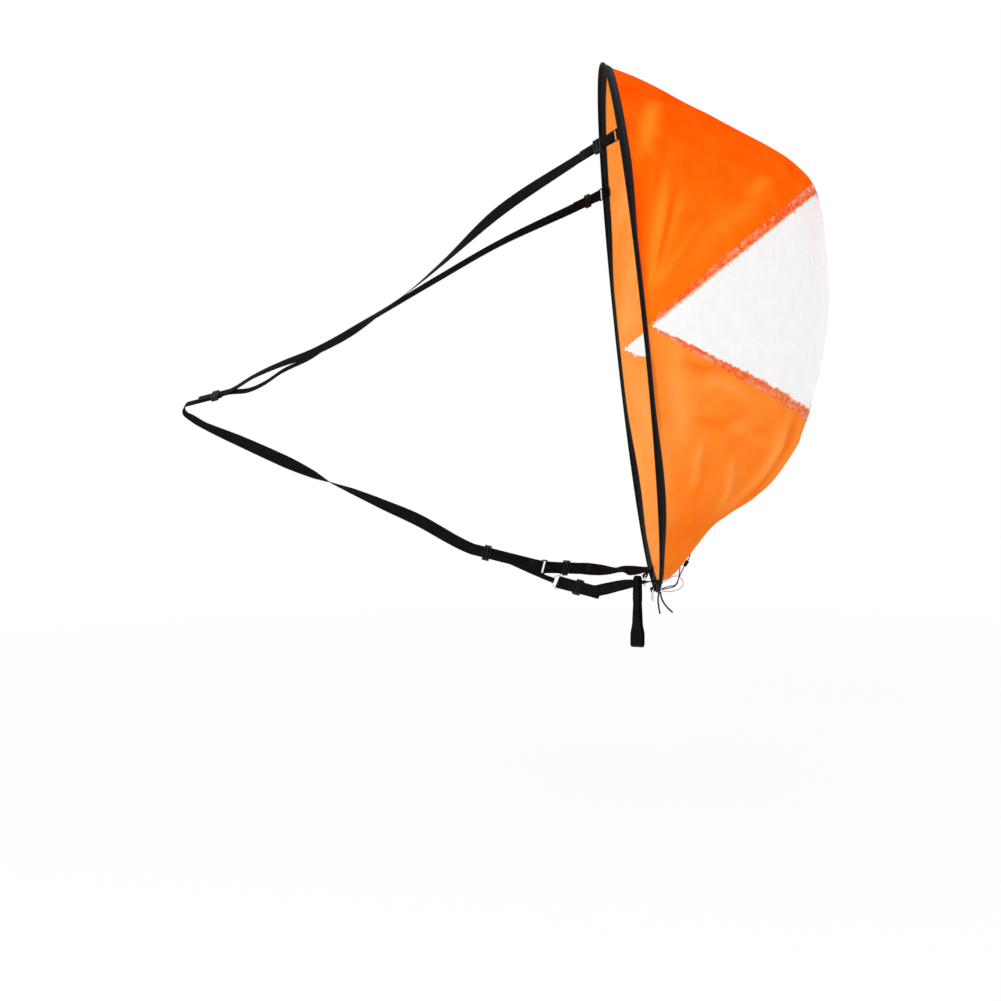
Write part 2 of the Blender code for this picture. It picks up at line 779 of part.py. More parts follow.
def make_window(group):
    """Clear film that laps over both cloth panels on the outer side."""
    columns = []
    reach = CORNER_ACROSS - FILM_END_LAP
    for angle in range(-90, 91, STATION_STEP):
        across = reach * math.sin(math.radians(angle))
        lap = lap_at(across)
        top = seam_height(across, UPPER_SEAM_SLOPE, CORNER_UP + BUTT)
        foot = seam_height(across, -LOWER_SEAM_SLOPE, CORNER_UP - BUTT)
        column = []
        rows = [foot + (top - foot) * k / FILM_ROWS for k in range(FILM_ROWS + 1)]
        for up in [foot - lap] + rows + [top + lap]:
            place = bowl_place(across, up, depth_at(across, up))
            column.append(place + bowl_normal(across, up) * LAP_LIFT)
        columns.append(column)
    shell("window_panel", columns, FILM, "clear_film", group)


# Webbing sliders and wire rings


def frame_of(along, across):
    """Right-handed frame from two directions."""
    along = along.normalized()
    across = (across - along * across.dot(along)).normalized()
    return along, across, along.cross(across)


def box_cutter(name, centre, frame, sizes, cutters):
    """A closed box in a turned frame."""
    along, across, normal = frame
    verts = []
    for i in (-1, 1):
        for j in (-1, 1):
            for k in (-1, 1):
                offset = along * sizes[0] * i + across * sizes[1] * j + normal * sizes[2] * k
                verts.append(centre + offset / 2)
    faces = [(0, 1, 3, 2), (4, 6, 7, 5), (0, 4, 5, 1), (2, 3, 7, 6), (0, 2, 6, 4), (1, 5, 7, 3)]
    return outward(add_mesh(name, verts, faces, None, cutters))


def hide_cutter(made):
    made.hide_render = True
    made.display_type = "WIRE"
    return made


def cut(target, cutter):
    hole = target.modifiers.new(cutter.name, "BOOLEAN")
    hole.operation = "DIFFERENCE"
    hole.solver = "EXACT"
    hole.object = hide_cutter(cutter)


def make_slider(name, centre, along, across, stack, group, cutters, width=WEB_WIDTH):
    """Moulded web slider: two side rails, two end bars and a bar across the middle."""
    frame = frame_of(along, across)
    channel = stack + 2 * SLIDE_GAP
    breadth = width + 2 * SLIDE_GAP
    sizes = (SLIDER_LENGTH, breadth + 2 * SLIDER_SIDE, channel + 2 * SLIDER_WALL)
    body = box_cutter(name, centre, frame, sizes, group)
    body.data.materials.append(material("slider_plastic"))
    ease = body.modifiers.new("Ease", "BEVEL")
    ease.width = SLIDER_EASE
    ease.segments = 1
    through = (SLIDER_LENGTH + 2 * OVERRUN, breadth, channel)
    cut(body, box_cutter(name + "_channel", centre, frame, through, cutters))
    slot = (SLIDER_LENGTH - SLIDER_MID_BAR) / 2 - SLIDER_END_BAR
    offset = (SLIDER_MID_BAR + slot) / 2
    tall = sizes[2] + 2 * OVERRUN
    for mark, side in (("_slot_a", -1), ("_slot_b", 1)):
        place = centre + frame[0] * offset * side
        cut(body, box_cutter(name + mark, place, frame, (slot, breadth, tall), cutters))
    return put_origin(body, centre)


def rounded_corner(path, corner, before, after, radius):
    """Add a corner of three points between two edge directions."""
    start = corner - before * radius
    end = corner + after * radius
    path.append(start)
    path.append(start * 0.25 + corner * 0.5 + end * 0.25)
    path.append(end)


def make_wire_ring(name, start, along, across, length, half_start, half_end, finish, group):
    """Wire ring with one bar at start and one a length further on."""
    along, across, _ = frame_of(along, across)
    corners = [
        start - across * half_start, start + across * half_start,
        start + along * length + across * half_end,
        start + along * length - across * half_end,
    ]
    path = []
    for i, corner in enumerate(corners):
        before = (corner - corners[i - 1]).normalized()
        after = (corners[(i + 1) % 4] - corner).normalized()
        rounded_corner(path, corner, before, after, RING_CORNER)
    return tube(name, path, RING_WIRE, finish, group, closed=True)


BAR_WRAP = RING_WIRE + GAP + WEB / 2
RING_HALF = WEB_WIDTH / 2 + RING_CORNER + GAP
LINK_HALF = TAPE_WIDTH / 2 + RING_CORNER + GAP
LOOP_PITCH = (WEB + 2 * GAP) / 2


def eye_path(main_end, tail_end, converge):
    """Plane path of webbing that comes in, turns round a bar and runs back under itself."""
    lead = (converge, LOOP_PITCH)
    back = (converge, -LOOP_PITCH)
    path = wrap(lead, back, (0, 0), BAR_WRAP, 1, 6)
    return [Vector((main_end, LOOP_PITCH))] + path + [Vector((tail_end, -LOOP_PITCH))]


def to_space(path, origin, along, normal, across):
    return [(origin + along * p[0] + normal * p[1], across) for p in path]


# Rein tabs, rings, straps and sliders


def rein_frame(angle):
    """Ring bar places and directions where a rein leaves the rim."""
    across = rim_frame(angle)[3]
    pull = REIN_PULL.copy()
    pull.y *= -math.copysign(1, angle)
    pull = (pull - across * pull.dot(across)).normalized()
    bar = rim_point(angle, REIN_FOOT_INNER, tab_offset()) + pull * REIN_RING_REACH
    return bar, pull, across, pull.cross(across)


def tab_offset():
    """Height of a tab's middle line over the binding's cloth line."""
    turn_drop = WEB_WIDTH / 2 * math.sin(math.radians(STATION_STEP / 2))
    return CLOTH / 2 + SLOT_GAP + TAPE + GAP + turn_drop + WEB / 2


def plane_of(angle, place):
    """A place's (inward, upwind) values at a rim station."""
    wire, inward, upwind, _ = rim_frame(angle)
    return Vector(((place - wire).dot(inward), (place - wire).dot(upwind)))


def make_rein_tab(name, angle, group):
    """Short webbing tab sewn to the binding and folded round its ring."""
    wire, inward, upwind, across = rim_frame(angle)
    bar = plane_of(angle, rein_frame(angle)[0])
    offset = tab_offset()
    leave = Vector((REIN_FOOT_INNER, offset))
    back = leave + Vector((-LAYER_PITCH, LAYER_PITCH))
    path = [Vector((REIN_FOOT_OUTER, offset))] + wrap(leave, back, bar, BAR_WRAP, 1, 7)
    stations = to_space(path, wire, inward, upwind, across)
    ribbon(name, stations, WEB_WIDTH, WEB, "webbing", group)


def make_rein_ring(name, angle, group):
    bar, pull, across, _ = rein_frame(angle)
    make_wire_ring(
        name, bar, pull, across, RING_LENGTH, RING_HALF, RING_HALF, "zinc_ring", group)


def hand_plane():
    """Directions of the tilted plane in which the hand loop lies."""
    rise = Vector((0, -math.sin(HAND_TILT), math.cos(HAND_TILT)))
    across = Vector((0, math.cos(HAND_TILT), math.sin(HAND_TILT)))
    flow = (-X_AXIS - rise * HAND_SLOPE).normalized()
    normal = flow.cross(across)
    if normal.z < 0:
        normal = -normal
    return flow, across, normal, rise


HAND = Vector((HAND_X, 0, HAND_Z))


def hand_station(reach, layer):
    flow, across, normal, _ = hand_plane()
    return HAND + flow * reach + normal * LAYER_PITCH * layer, across


def make_rein(prefix, angle, route, layer, group, cutters):
    """A rein from its doubled end at the rim to the stitched hand joint."""
    bar, pull, across, normal = rein_frame(angle)
    start = bar + pull * RING_LENGTH
    loop = to_space(eye_path(REIN_STRAIGHT, REIN_TAIL, REIN_CONVERGE), start, pull, normal, across)
    if across.y < 0:
        run = [(p, -w) for p, w in loop]
    else:
        run = loop
    run.reverse()
    joint = [hand_station(-HAND_LEAD, layer), hand_station(HAND_ENDS, layer)]
    free = [run[-1]] + route_stations(route) + joint[:1]
    stations = run[:-1] + glide(free, 3, run[-2], joint[1]) + joint[1:]
    ribbon(prefix + "_rein_strap", stations, WEB_WIDTH, WEB, "webbing", group)
    centre = start + pull * REIN_SLIDER_PLACE
    stack = 2 * LOOP_PITCH + WEB
    make_slider(prefix + "_rein_slider", centre, pull, across, stack, group, cutters)


def make_hand_slider(group, cutters):
    """Keeper that gathers the three layers of the hand joint."""
    flow, across, _, _ = hand_plane()
    stack = 2 * LAYER_PITCH + WEB
    make_slider("hand_slider", HAND, flow, across, stack, group, cutters)


# Lower strap, its ring and the legs


def junction_frame():
    """Common bar direction for the lower strap and the far leg."""
    across = LOWER_PULL.cross(FAR_LEG_PULL).normalized()
    pull = LOWER_PULL.normalized()
    leg = FAR_LEG_PULL.normalized()
    return pull, leg, across


def near_frame():
    pull = NEAR_LINK_PULL.normalized()
    leg = NEAR_LEG_PULL.normalized()
    across = leg.cross(pull).normalized()
    return pull, leg, across


def slider_line():
    """Place and directions of the lower strap where its slider sits."""
    pull, _, across = junction_frame()
    return JUNCTION - pull * LOWER_SLIDER_PLACE, pull, across


def make_lower_strap(group, cutters):
    """Hand loop, twisted run and doubled end at the bridle ring."""
    flow, hand_across, hand_normal, _ = hand_plane()
    start = [hand_station(-HAND_LEAD / 2, -1), hand_station(HAND_ENDS, -1)]
    first = LOWER_ROUTE[0]
    origin = hand_station(HAND_TURN_START, -1)[0]
    centre = Vector((0, -HAND_TURN_RADIUS))
    exit_place = Vector(first[:3]) - origin
    leave = Vector((exit_place.dot(flow), exit_place.dot(hand_normal)))
    turn_path = wrap((-HAND_TURN_RADIUS, 0), leave, centre, HAND_TURN_RADIUS, -1, 8)
    turn = to_space(turn_path[1:-1], origin, flow, hand_normal, hand_across)
    pull, _, across = junction_frame()
    normal = pull.cross(across)
    side = -1 if normal.z < 0 else 1
    normal *= side
    eye = eye_path(LOWER_SLIDER_PLACE + SLIDER_LENGTH * 2, LOWER_TAIL, REIN_CONVERGE)
    loop = to_space(eye, JUNCTION, -pull, normal, tilted(LOWER_ROUTE[-1][3]))
    loop = [(p, -across if across.z > 0 else across) for p, _ in loop]
    free = [turn[-1]] + route_stations(LOWER_ROUTE) + [loop[0]]
    stations = start + turn[:-1] + glide(free, 3, turn[-2], loop[1]) + loop[1:]
    ribbon("lower_strap", stations, WEB_WIDTH, WEB, "webbing", group)
    place, pull, across = slider_line()
    make_slider(
        "lower_strap_slider", place, pull, across, 2 * LOOP_PITCH + WEB, group, cutters)


def make_bridle_ring(group):
    pull, leg, across = junction_frame()
    middle = (pull + leg).normalized()
    make_wire_ring(
        "bridle_ring", JUNCTION, middle, across, RING_LENGTH, RING_HALF, RING_HALF,
        "dark_wire", group)
    return JUNCTION + frame_of(middle, across)[0] * RING_LENGTH


def leg_foot(angle):
    """Stations of a leg's sewn end on the binding, nearest the harness first."""
    wire, inward, upwind, across = rim_frame(angle)
    low = tab_offset() + WEB + GAP
    bend = WEB + GAP
    outline = [
        Vector((LEG_FOOT_OUTER - 5 * bend, low + 4 * bend)),
        Vector((LEG_FOOT_OUTER - 4.2 * bend, low + 1.4 * bend)),
        Vector((LEG_FOOT_OUTER - 3 * bend, low)),
        Vector((LEG_FOOT_OUTER, low)),
    ]
    return to_space(outline, wire, inward, upwind, across)


def foot_angle(side):
    """Rim angle of a deck ring's tab."""
    return side * (180 - math.degrees(math.asin(DECK_RING_OFFSET / HOOP_RADIUS)))


def make_leg(prefix, side, bar, pull, across, route, tail, group, cutters):
    """Adjustable leg from its ring, through its slider, to the foot of the rim."""
    pull, across, normal = frame_of(pull, across)
    if normal.z < 0:
        normal = -normal
    loop = to_space(eye_path(LEG_STRAIGHT, tail, REIN_CONVERGE), bar, pull, normal, across)
    if across.y < 0 and prefix == "near":
        loop = [(p, -w) for p, w in loop]
    loop.reverse()
    foot = leg_foot(foot_angle(side))
    if foot[0][1].y < 0:
        foot = [(p, -w) for p, w in foot]
    free = [loop[-1]] + route_stations(route) + foot
    stations = loop[:-1] + glide(free, 4, loop[-2])
    ribbon(prefix + "_leg_strap", stations, WEB_WIDTH, WEB, "webbing", group)
    centre = bar + pull * LEG_SLIDER_PLACE
    make_slider(
        prefix + "_leg_slider", centre, pull, across, 2 * LOOP_PITCH + WEB, group, cutters)
    return stations


def make_near_link(group):
    """Tapered wire link between the narrow tape and the near leg."""
    pull, leg, across = near_frame()
    middle = (pull + leg).normalized()
    flare = (RING_HALF - LINK_HALF) * (BAR_WRAP + WEB + RING_WIRE) / LINK_LENGTH
    make_wire_ring(
        "near_leg_link", NEAR_LINK, middle, across, LINK_LENGTH, LINK_HALF, RING_HALF + flare,
        "zinc_ring", group)
    return NEAR_LINK + frame_of(middle, across)[0] * LINK_LENGTH


def make_link_strap(group):
    """Narrow tape from under the lower slider to the near leg's link."""
    place, pull, across = slider_line()
    normal = pull.cross(across)
    if normal.z < 0:
        normal = -normal
    level = -normal * LOOP_PITCH
    start = place - pull * SLIDER_LENGTH + level
    after = place + pull * LINK_STRAIGHT + level
    reach, _, bar_across = near_frame()
    up = reach.cross(bar_across)
    if up.z < 0:
        up = -up
    eye = eye_path(REIN_CONVERGE * 2, REIN_CONVERGE * 1.6, REIN_CONVERGE)
    loop = to_space(eye, NEAR_LINK, -reach, up, bar_across)
    across = across if across.dot(bar_across) > 0 else -across
    free = [(after, across), loop[0]]
    top = (start, across)
    stations = [top] + glide(free, 6, top, loop[1]) + loop[1:]
    ribbon("near_link_strap", stations, TAPE_WIDTH, WEB, "webbing", group)


# Hanging loop on the near leg


def place_from_end(stations, distance):
    """Place and direction on a strap at a distance from its last station."""
    for (there, _), (here, _) in zip(reversed(stations[:-1]), reversed(stations)):
        step = (here - there).length
        if distance <= step:
            return here + (there - here) * distance / step, (here - there).normalized()
        distance -= step
    return stations[0][0], (stations[1][0] - stations[0][0]).normalized()


def make_hanging_loop(stations, group):
    """Closed webbing loop that hangs over the near leg and swings about it."""
    here, along = place_from_end(stations, LOOP_FROM_FOOT)
    along.z = 0
    along.normalize()
    side = Z_AXIS.cross(along)
    low = Vector((0, -LOOP_LENGTH))
    path = []
    for i in range(9):
        turn = math.pi * i / 8
        path.append(Vector((math.cos(turn), math.sin(turn))) * LOOP_TOP_RADIUS)
    narrow = (LOOP_TOP_RADIUS + LOOP_FOOT_RADIUS) / 2
    path.append(Vector((-narrow, -LOOP_LENGTH / 2)))
    for i in range(7):
        turn = math.pi + math.pi * i / 6
        path.append(low + Vector((math.cos(turn), math.sin(turn))) * LOOP_FOOT_RADIUS)
    path.append(Vector((narrow, -LOOP_LENGTH / 2)))
    verts = []
    for p in path:
        place = here + side * p.x + Z_AXIS * p.y
        verts.append(place - along * WEB_WIDTH / 2)
        verts.append(place + along * WEB_WIDTH / 2)
    count = len(path)
    faces = []
    for i in range(count):
        n = (i + 1) % count
        faces.append((2 * i, 2 * i + 1, 2 * n + 1, 2 * n))
    made = add_mesh("hanging_loop", verts, faces, "webbing", group)
    return put_origin(thicken(made, WEB), here)


# Deck rings and their tabs


def make_deck_ring(name, side, group):
    """Flat plate ring: hinge bar on top, deck bar at the foot."""
    half = DECK_RING_EYE_WIDTH / 2
    top = DECK_RING_BAR / 2
    eye_top = -DECK_RING_BAR / 2
    eye_foot = eye_top - DECK_RING_EYE_HEIGHT
    foot = eye_foot - DECK_RING_FOOT
    outer = half + DECK_RING_SIDE
    curve = bpy.data.curves.new(name, "CURVE")
    curve.dimensions = "2D"
    curve.fill_mode = "BOTH"
    curve.extrude = DECK_RING_PLATE / 2 - DECK_RING_EASE
    curve.bevel_depth = DECK_RING_EASE
    curve.bevel_resolution = 0
    bounds = ((outer, top, foot, DECK_RING_CORNER), (half, eye_top, eye_foot, DECK_RING_EASE * 3))
    for wide, high, low, corner in bounds:
        add_outline(curve, wide - DECK_RING_EASE * outline_sign(wide, half),
                    high - DECK_RING_EASE * outline_sign(wide, half),
                    low + DECK_RING_EASE * outline_sign(wide, half), corner)
    made = curve_to_mesh(name, curve, "zinc_ring", group)
    stand = Matrix(((0, 0, 1, 0), (1, 0, 0, side * DECK_RING_OFFSET), (0, 1, 0, 0), (0, 0, 0, 1)))
    made.data.transform(stand)
    return outward(made)


def outline_sign(wide, half):
    """The bevel grows the outer outline and shrinks the eye."""
    return 1 if wide > half else -1


def add_outline(curve, wide, high, low, corner):
    """Rounded rectangle as one closed line of the curve."""
    places = []
    turns = ((wide, high, 0), (-wide, high, 90), (-wide, low, 180), (wide, low, 270))
    for x, y, start in turns:
        cx = x - math.copysign(corner, x)
        cy = y - corner if y == high else y + corner
        for i in range(4):
            turn = math.radians(start + 30 * i)
            places.append((cx + corner * math.cos(turn), cy + corner * math.sin(turn)))
    line = curve.splines.new("POLY")
    line.points.add(len(places) - 1)
    for point, place in zip(line.points, places):
        point.co = (*place, 0, 1)
    line.use_cyclic_u = True


def make_base_tab(name, side, group):
    """Webbing tab sewn to the binding and folded round the deck ring's hinge bar."""
    angle = foot_angle(side)
    wire, inward, upwind, across = rim_frame(angle)
    bar_half = math.hypot(DECK_RING_BAR, DECK_RING_PLATE) / 2
    radius = bar_half + GAP + WEB / 2
    offset = tab_offset()
    inner = LEG_FOOT_OUTER - 3 * LAYER_PITCH
    foot = [rim_point(angle, LEG_FOOT_OUTER, offset), rim_point(angle, inner, offset)]
    leave = foot[-1]
    flat_leave = Vector((leave.x, leave.z))
    heading = flat_leave.normalized()
    below = Vector((heading.y, -heading.x))
    back = heading * (radius + 2 * LAYER_PITCH) + below * LAYER_PITCH / 2
    path = wrap(flat_leave, back, (0, 0), radius, 1, 9)
    y = side * DECK_RING_OFFSET
    middle = [(Vector((p.x, y, p.y)), Y_AXIS) for p in path[1:]]
    across = across if across.y > 0 else -across
    stations = [(p, across) for p in foot] + middle
    ribbon(name, stations, WEB_WIDTH, WEB, "webbing", group)


# Tie cords, knots, eyes and stopper


def make_ball(name, centre, radius, finish, group):
    work = bmesh.new()
    bmesh.ops.create_uvsphere(work, u_segments=12, v_segments=8, radius=radius)
    bmesh.ops.translate(work, verts=work.verts, vec=centre)
    mesh = bpy.data.meshes.new(name)
    work.to_mesh(mesh)
    work.free()
    mesh.materials.append(material(finish))
    made = bpy.data.objects.new(name, mesh)
    group.objects.link(made)
    return made


def knot_place():
    """Centre of the knot, against the binding at the hoop's foot."""
    reach = BEAD_BORE + TAPE + GAP + KNOT_RADIUS
    on_rim = rim_point(180, reach * math.cos(KNOT_TURN), reach * math.sin(KNOT_TURN))
    return on_rim + Y_AXIS * KNOT_SIDE


def head_place(head):
    """Place off the lower panel, from across, height over its foot and standoff."""
    across, above, off = head
    up = EDGE_TABLE[0][1] + above
    return bowl_place(across, up, depth_at(across, up)) + bowl_normal(across, up) * off


def follow(trace, head=None):
    """Traced route, moved with the panel at its head and with the knot at its foot."""
    knot_shift = knot_place() - KNOT_TRACE
    head_shift = head_place(head) - Vector(trace[0]) if head else knot_shift
    last = len(trace) - 1
    return [Vector(p) + head_shift.lerp(knot_shift, i / last) for i, p in enumerate(trace)]


NEAR_CORD_ROUTE = follow(NEAR_CORD_TRACE, NEAR_HEAD)
FAR_CORD_ROUTE = follow(FAR_CORD_TRACE, FAR_HEAD)
PALE_CORD_ROUTE = follow(PALE_CORD_TRACE)
LONG_TAIL_ROUTE = follow(LONG_TAIL_TRACE)
SHORT_TAIL_ROUTE = follow(SHORT_TAIL_TRACE)


def make_eye(name, cord_start, cord_next, group):
    """Small wire eye on the lower panel at the head of a cord."""
    head = Vector(cord_start)
    away = (head - Vector(cord_next)).normalized()
    across = away.cross(Y_AXIS).normalized()
    centre = head + away * (EYE_RADIUS + EYE_WIRE + GAP)
    places = []
    for i in range(12):
        turn = 2 * math.pi * i / 12
        places.append(centre + (away * math.cos(turn) + Y_AXIS * math.sin(turn)) * EYE_RADIUS)
    return tube(name, places, EYE_WIRE, "zinc_ring", group, closed=True)


def make_stopper(group):
    """Bead that slides on the straight run of the near cord."""
    start, end = Vector(NEAR_CORD_ROUTE[1]), Vector(NEAR_CORD_ROUTE[4])
    along = (end - start).normalized()
    centre = start + along * TOGGLE_PLACE
    half = STOPPER_LENGTH / 2
    bore = CORD_RADIUS + SLIDE_GAP
    profile = [
        (bore, half), (STOPPER_RADIUS - STOPPER_EASE, half), (STOPPER_RADIUS, half - STOPPER_EASE),
        (STOPPER_RADIUS, -half + STOPPER_EASE), (STOPPER_RADIUS - STOPPER_EASE, -half), (bore, -half),
    ]
    turn = along.to_track_quat("Z", "Y").to_matrix()
    sides = 12
    verts = []
    for i in range(sides):
        spin = 2 * math.pi * i / sides
        for r, z in profile:
            verts.append(centre + turn @ Vector((r * math.cos(spin), r * math.sin(spin), z)))
    count = len(profile)
    faces = []
    for i in range(sides):
        n = (i + 1) % sides
        for k in range(count):
            m = (k + 1) % count
            faces.append((i * count + k, n * count + k, n * count + m, i * count + m))
    made = outward(add_mesh("cord_stopper", verts, faces, "slider_plastic", group))
    return put_origin(made, centre)


def make_cords(group):
    tube("near_tie_cord", NEAR_CORD_ROUTE, CORD_RADIUS, "dark_cord", group)
    tube("far_tie_cord", FAR_CORD_ROUTE, CORD_RADIUS, "dark_cord", group)
    tube("pale_tie_cord", PALE_CORD_ROUTE, PALE_CORD_RADIUS, "pale_cord", group)
    tube("long_tail_cord", LONG_TAIL_ROUTE, CORD_RADIUS, "dark_cord", group)
    tube("short_tail_cord", SHORT_TAIL_ROUTE, CORD_RADIUS, "dark_cord", group)
    make_ball("base_cord_knot", knot_place(), KNOT_RADIUS, "dark_cord", group)
    make_eye("near_cord_eye", NEAR_CORD_ROUTE[0], NEAR_CORD_ROUTE[1], group)
    make_eye("far_cord_eye", FAR_CORD_ROUTE[0], FAR_CORD_ROUTE[1], group)


def main():
    clear_scene()
    parts = new_collection("canoe_sail")
    cutters = new_collection("cutters")
    make_hoop(parts)
    make_ferrule(parts)
    make_binding(parts)
    make_upper_panel(parts)
    make_lower_panels(parts)
    make_window(parts)
    for prefix, side, route, layer in (
        ("near", -1, NEAR_REIN_ROUTE, 1), ("far", 1, FAR_REIN_ROUTE, 0),
    ):
        angle = side * REIN_ANGLE
        make_rein_tab(prefix + "_rein_tab", angle, parts)
        make_rein_ring(prefix + "_rein_ring", angle, parts)
        make_rein(prefix, angle, route, layer, parts, cutters)
        make_deck_ring(prefix + "_deck_ring", side, parts)
        make_base_tab(prefix + "_base_tab", side, parts)
    make_hand_slider(parts, cutters)
    make_lower_strap(parts, cutters)
    far_bar = make_bridle_ring(parts)
    near_bar = make_near_link(parts)
    make_link_strap(parts)
    _, far_pull, far_across = junction_frame()
    make_leg("far", 1, far_bar, far_pull, far_across, FAR_LEG_ROUTE, FAR_LEG_TAIL, parts, cutters)
    _, near_pull, near_across = near_frame()
    near_run = make_leg(
        "near", -1, near_bar, near_pull, near_across, NEAR_LEG_ROUTE, NEAR_LEG_TAIL, parts, cutters)
    make_hanging_loop(near_run, parts)
    make_cords(parts)
    make_stopper(parts)


main()
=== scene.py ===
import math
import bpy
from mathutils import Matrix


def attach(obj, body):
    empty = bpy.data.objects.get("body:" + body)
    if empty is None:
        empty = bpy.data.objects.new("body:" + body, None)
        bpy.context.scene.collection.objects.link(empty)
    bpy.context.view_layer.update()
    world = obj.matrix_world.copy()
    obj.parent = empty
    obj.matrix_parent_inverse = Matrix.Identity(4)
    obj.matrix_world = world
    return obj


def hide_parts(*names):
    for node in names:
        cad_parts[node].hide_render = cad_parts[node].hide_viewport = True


bl_info = {
    "name": "Canoe Sail",
    "version": (1, 0, 0),
    "blender": (4, 5, 0),
    "location": "3D View > Sidebar > Canoe Sail",
    "description": "Pop-up downwind sail with its harness, in cloth, film, webbing and metal",
    "category": "Object",
}

import bmesh
import bpy
import numpy as np
from bpy.props import FloatProperty, PointerProperty
from mathutils import Matrix, Vector, noise

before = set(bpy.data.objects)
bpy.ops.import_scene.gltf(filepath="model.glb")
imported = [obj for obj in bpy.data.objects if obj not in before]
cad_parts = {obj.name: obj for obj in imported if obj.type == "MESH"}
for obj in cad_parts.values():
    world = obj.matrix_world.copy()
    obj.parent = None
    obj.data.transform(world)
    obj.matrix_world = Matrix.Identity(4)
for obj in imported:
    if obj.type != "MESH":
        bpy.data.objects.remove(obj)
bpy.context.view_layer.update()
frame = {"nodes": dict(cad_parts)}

X_AXIS = Vector((1, 0, 0))
Y_AXIS = Vector((0, 1, 0))
Z_AXIS = Vector((0, 0, 1))
SAIL = "sail"

# Fineness of the meshes. A yarn rate of 0.314 sets a wave texture's bands 1 m apart.
YARN_RATE = 0.314
EYE_STEPS = 16
SPANS = 10
CORD_SPANS = 5
RIBBON_PITCH = 0.005
KNOT_STEPS = 48
LOOP_STEPS = (24, 18)
CLOTH_ROWS = 56
CLOTH_COLUMNS = 700
CLOTH_CROWD = 1.35
FILM_COLUMNS = 560
FILM_ROWS = 66
FILM_LAP_ROWS = 7
SEAM_SPANS = 1200
SEAM_ROUNDS = 40
BINDING_SPANS = 840
BINDING_SEAM_STEP = 2
BEAD_STEPS = (11, 9)
MITRE_LIMIT = 0.75

# Rows of stitches across the window's laps, how far they stop short of the lines' ends, and the
# painted glints on them: pale thread that stands in for the film's highlights
LAP_SEAMS = (0.25, 0.75)
SEAM_STOP = 6
GLINT_REACH = 0.0027
GLINT_PITCH = 0.0030
GLINT_RATE = 42
GLINT_LEVEL = -0.02

# Hanging loop: how its plies turn, close up and narrow with the drop from its head
LOOP_STEP = 0.004
LOOP_DROPS = (-0.016, 0.008, 0.026, 0.042, 0.080, 0.104, 0.130)
LOOP_TURNS = (0, 0, -8, -24, -30, -6, 0)
LOOP_SPREADS = (1, 1, 0.72, 0.38, 0.40, 0.8, 1)
LOOP_WIDTH_SHARES = (0.44, 0.44, 0.48, 0.60, 0.88, 1, 1)

# Middle of the film's painted pink reflection of the orange cloth
PINK_REFLECTION_PLACE = (0.335, 0.0, 0.80)

# Stage. Each softbox: the setting that holds its power, its place and its size
FLOOR_PLACE = -0.40
FLOOR_HALF = 6.0
FLOOR_GLOW = 0.9
FLOOR_NEAR = 1.3
FLOOR_FAR = 3.4
CAMERA_PLACE = (-0.2056, -3.3784, 0.3400)
CAMERA_HEADING = math.radians(1.593)
CAMERA_LENS = 58.99
CAMERA_SHIFT = (-0.0022, -0.0831)
SENSOR_WIDTH = 36
LIT_PLACE = Vector((-0.2, 0, 0.45))
SOFTBOXES = (
    ("key", (-1.6, -3.4, 1.5), (2.4, 1.8)),
    ("fill", (2.6, -2.6, 1.4), (2.2, 2.2)),
    ("top", (0.3, 0.4, 3.2), (2.6, 2.6)),
)

# Hoop, its binding and the bowl
GAP = 0.0003
MERGE = 0.00001
HOOP_RADIUS = 0.5375
HOOP_LEAN = math.radians(6.1)
HOOP_BACK = 0.0418
HOOP_HEIGHT = 0.5204
STATION_STEP = 5
TAPE = 0.0006
BEAD_BORE = 0.0027
SLOT_GAP = 0.0007
FLANGE_REACH = 0.0165
FLANGE_RIBS = (0.013, 0.008)
POCKET_REACH = 0.012
RUCK_START = 0.01
RUCK_RATE = 60
BINDING_SEAMS = (0.003, 0.0085)
CLOTH = 0.0008
EDGE_STRIP = 0.0195
HIDDEN_ROWS = (0.0182, 0.0122, 0.0055)
BOWL_DEPTH = 0.414
CORNER_ANGLE = 92.3
CORNER_INSET = 0.004
UPPER_SEAM_SLOPE = 0.6425
LOWER_SEAM_SLOPE = 0.562
SEAM_LAP = 0.020
FILM_END_LAP = 0.004
RIM_ANGLE_PLACES = (0, 44, 56, 78, 105, 129, 150, 180)
RIM_ANGLES = (62, 52, 52, 18, 18, 48, 25, 25)
KEEL_SHARES = (
    (-0.955, 0.07), (-0.885, 0.17), (-0.83, 0.235), (-0.765, 0.32), (-0.72, 0.42),
    (-0.685, 0.52), (-0.62, 0.635), (-0.54, 0.725), (-0.395, 0.83), (-0.155, 0.935),
    (0.03, 0.985), (0.2, 1.0), (0.33, 1.0), (0.46, 0.975), (0.54, 0.905),
    (0.607, 0.80), (0.683, 0.655), (0.81, 0.41), (0.925, 0.19),
)

# Webbing, rings and sliders
WEB_WIDTH = 0.025
WEB = 0.0015
TAPE_WIDTH = 0.010
LAYER_PITCH = 0.0024
DECK_RING_OFFSET = 0.135
DECK_RING_PLATE = 0.0035
DECK_RING_BAR = 0.004
RING_WIRE = 0.0016
RING_LENGTH = 0.0105
LINK_LENGTH = 0.014
REIN_ANGLE = 49.8
REIN_FOOT_OUTER = 0.0195
REIN_FOOT_INNER = 0.0130
REIN_RING_REACH = 0.0125
REIN_CONVERGE = 0.016
REIN_TAIL = 0.072
REIN_STRAIGHT = 0.078
SLIDER_LENGTH = 0.015
HAND_X = -0.8945
HAND_Z = 0.3845
HAND_TILT = math.radians(24)
HAND_SLOPE = 0.2698
HAND_LEAD = 0.030
HAND_ENDS = 0.037
HAND_TURN_START = 0.061
HAND_TURN_RADIUS = 0.0145
LEG_FOOT_OUTER = 0.019
LEG_FOOT_BENDS = ((5, 4), (4.2, 1.4), (3, 0), (0, 0))
LEG_STRAIGHT = 0.078
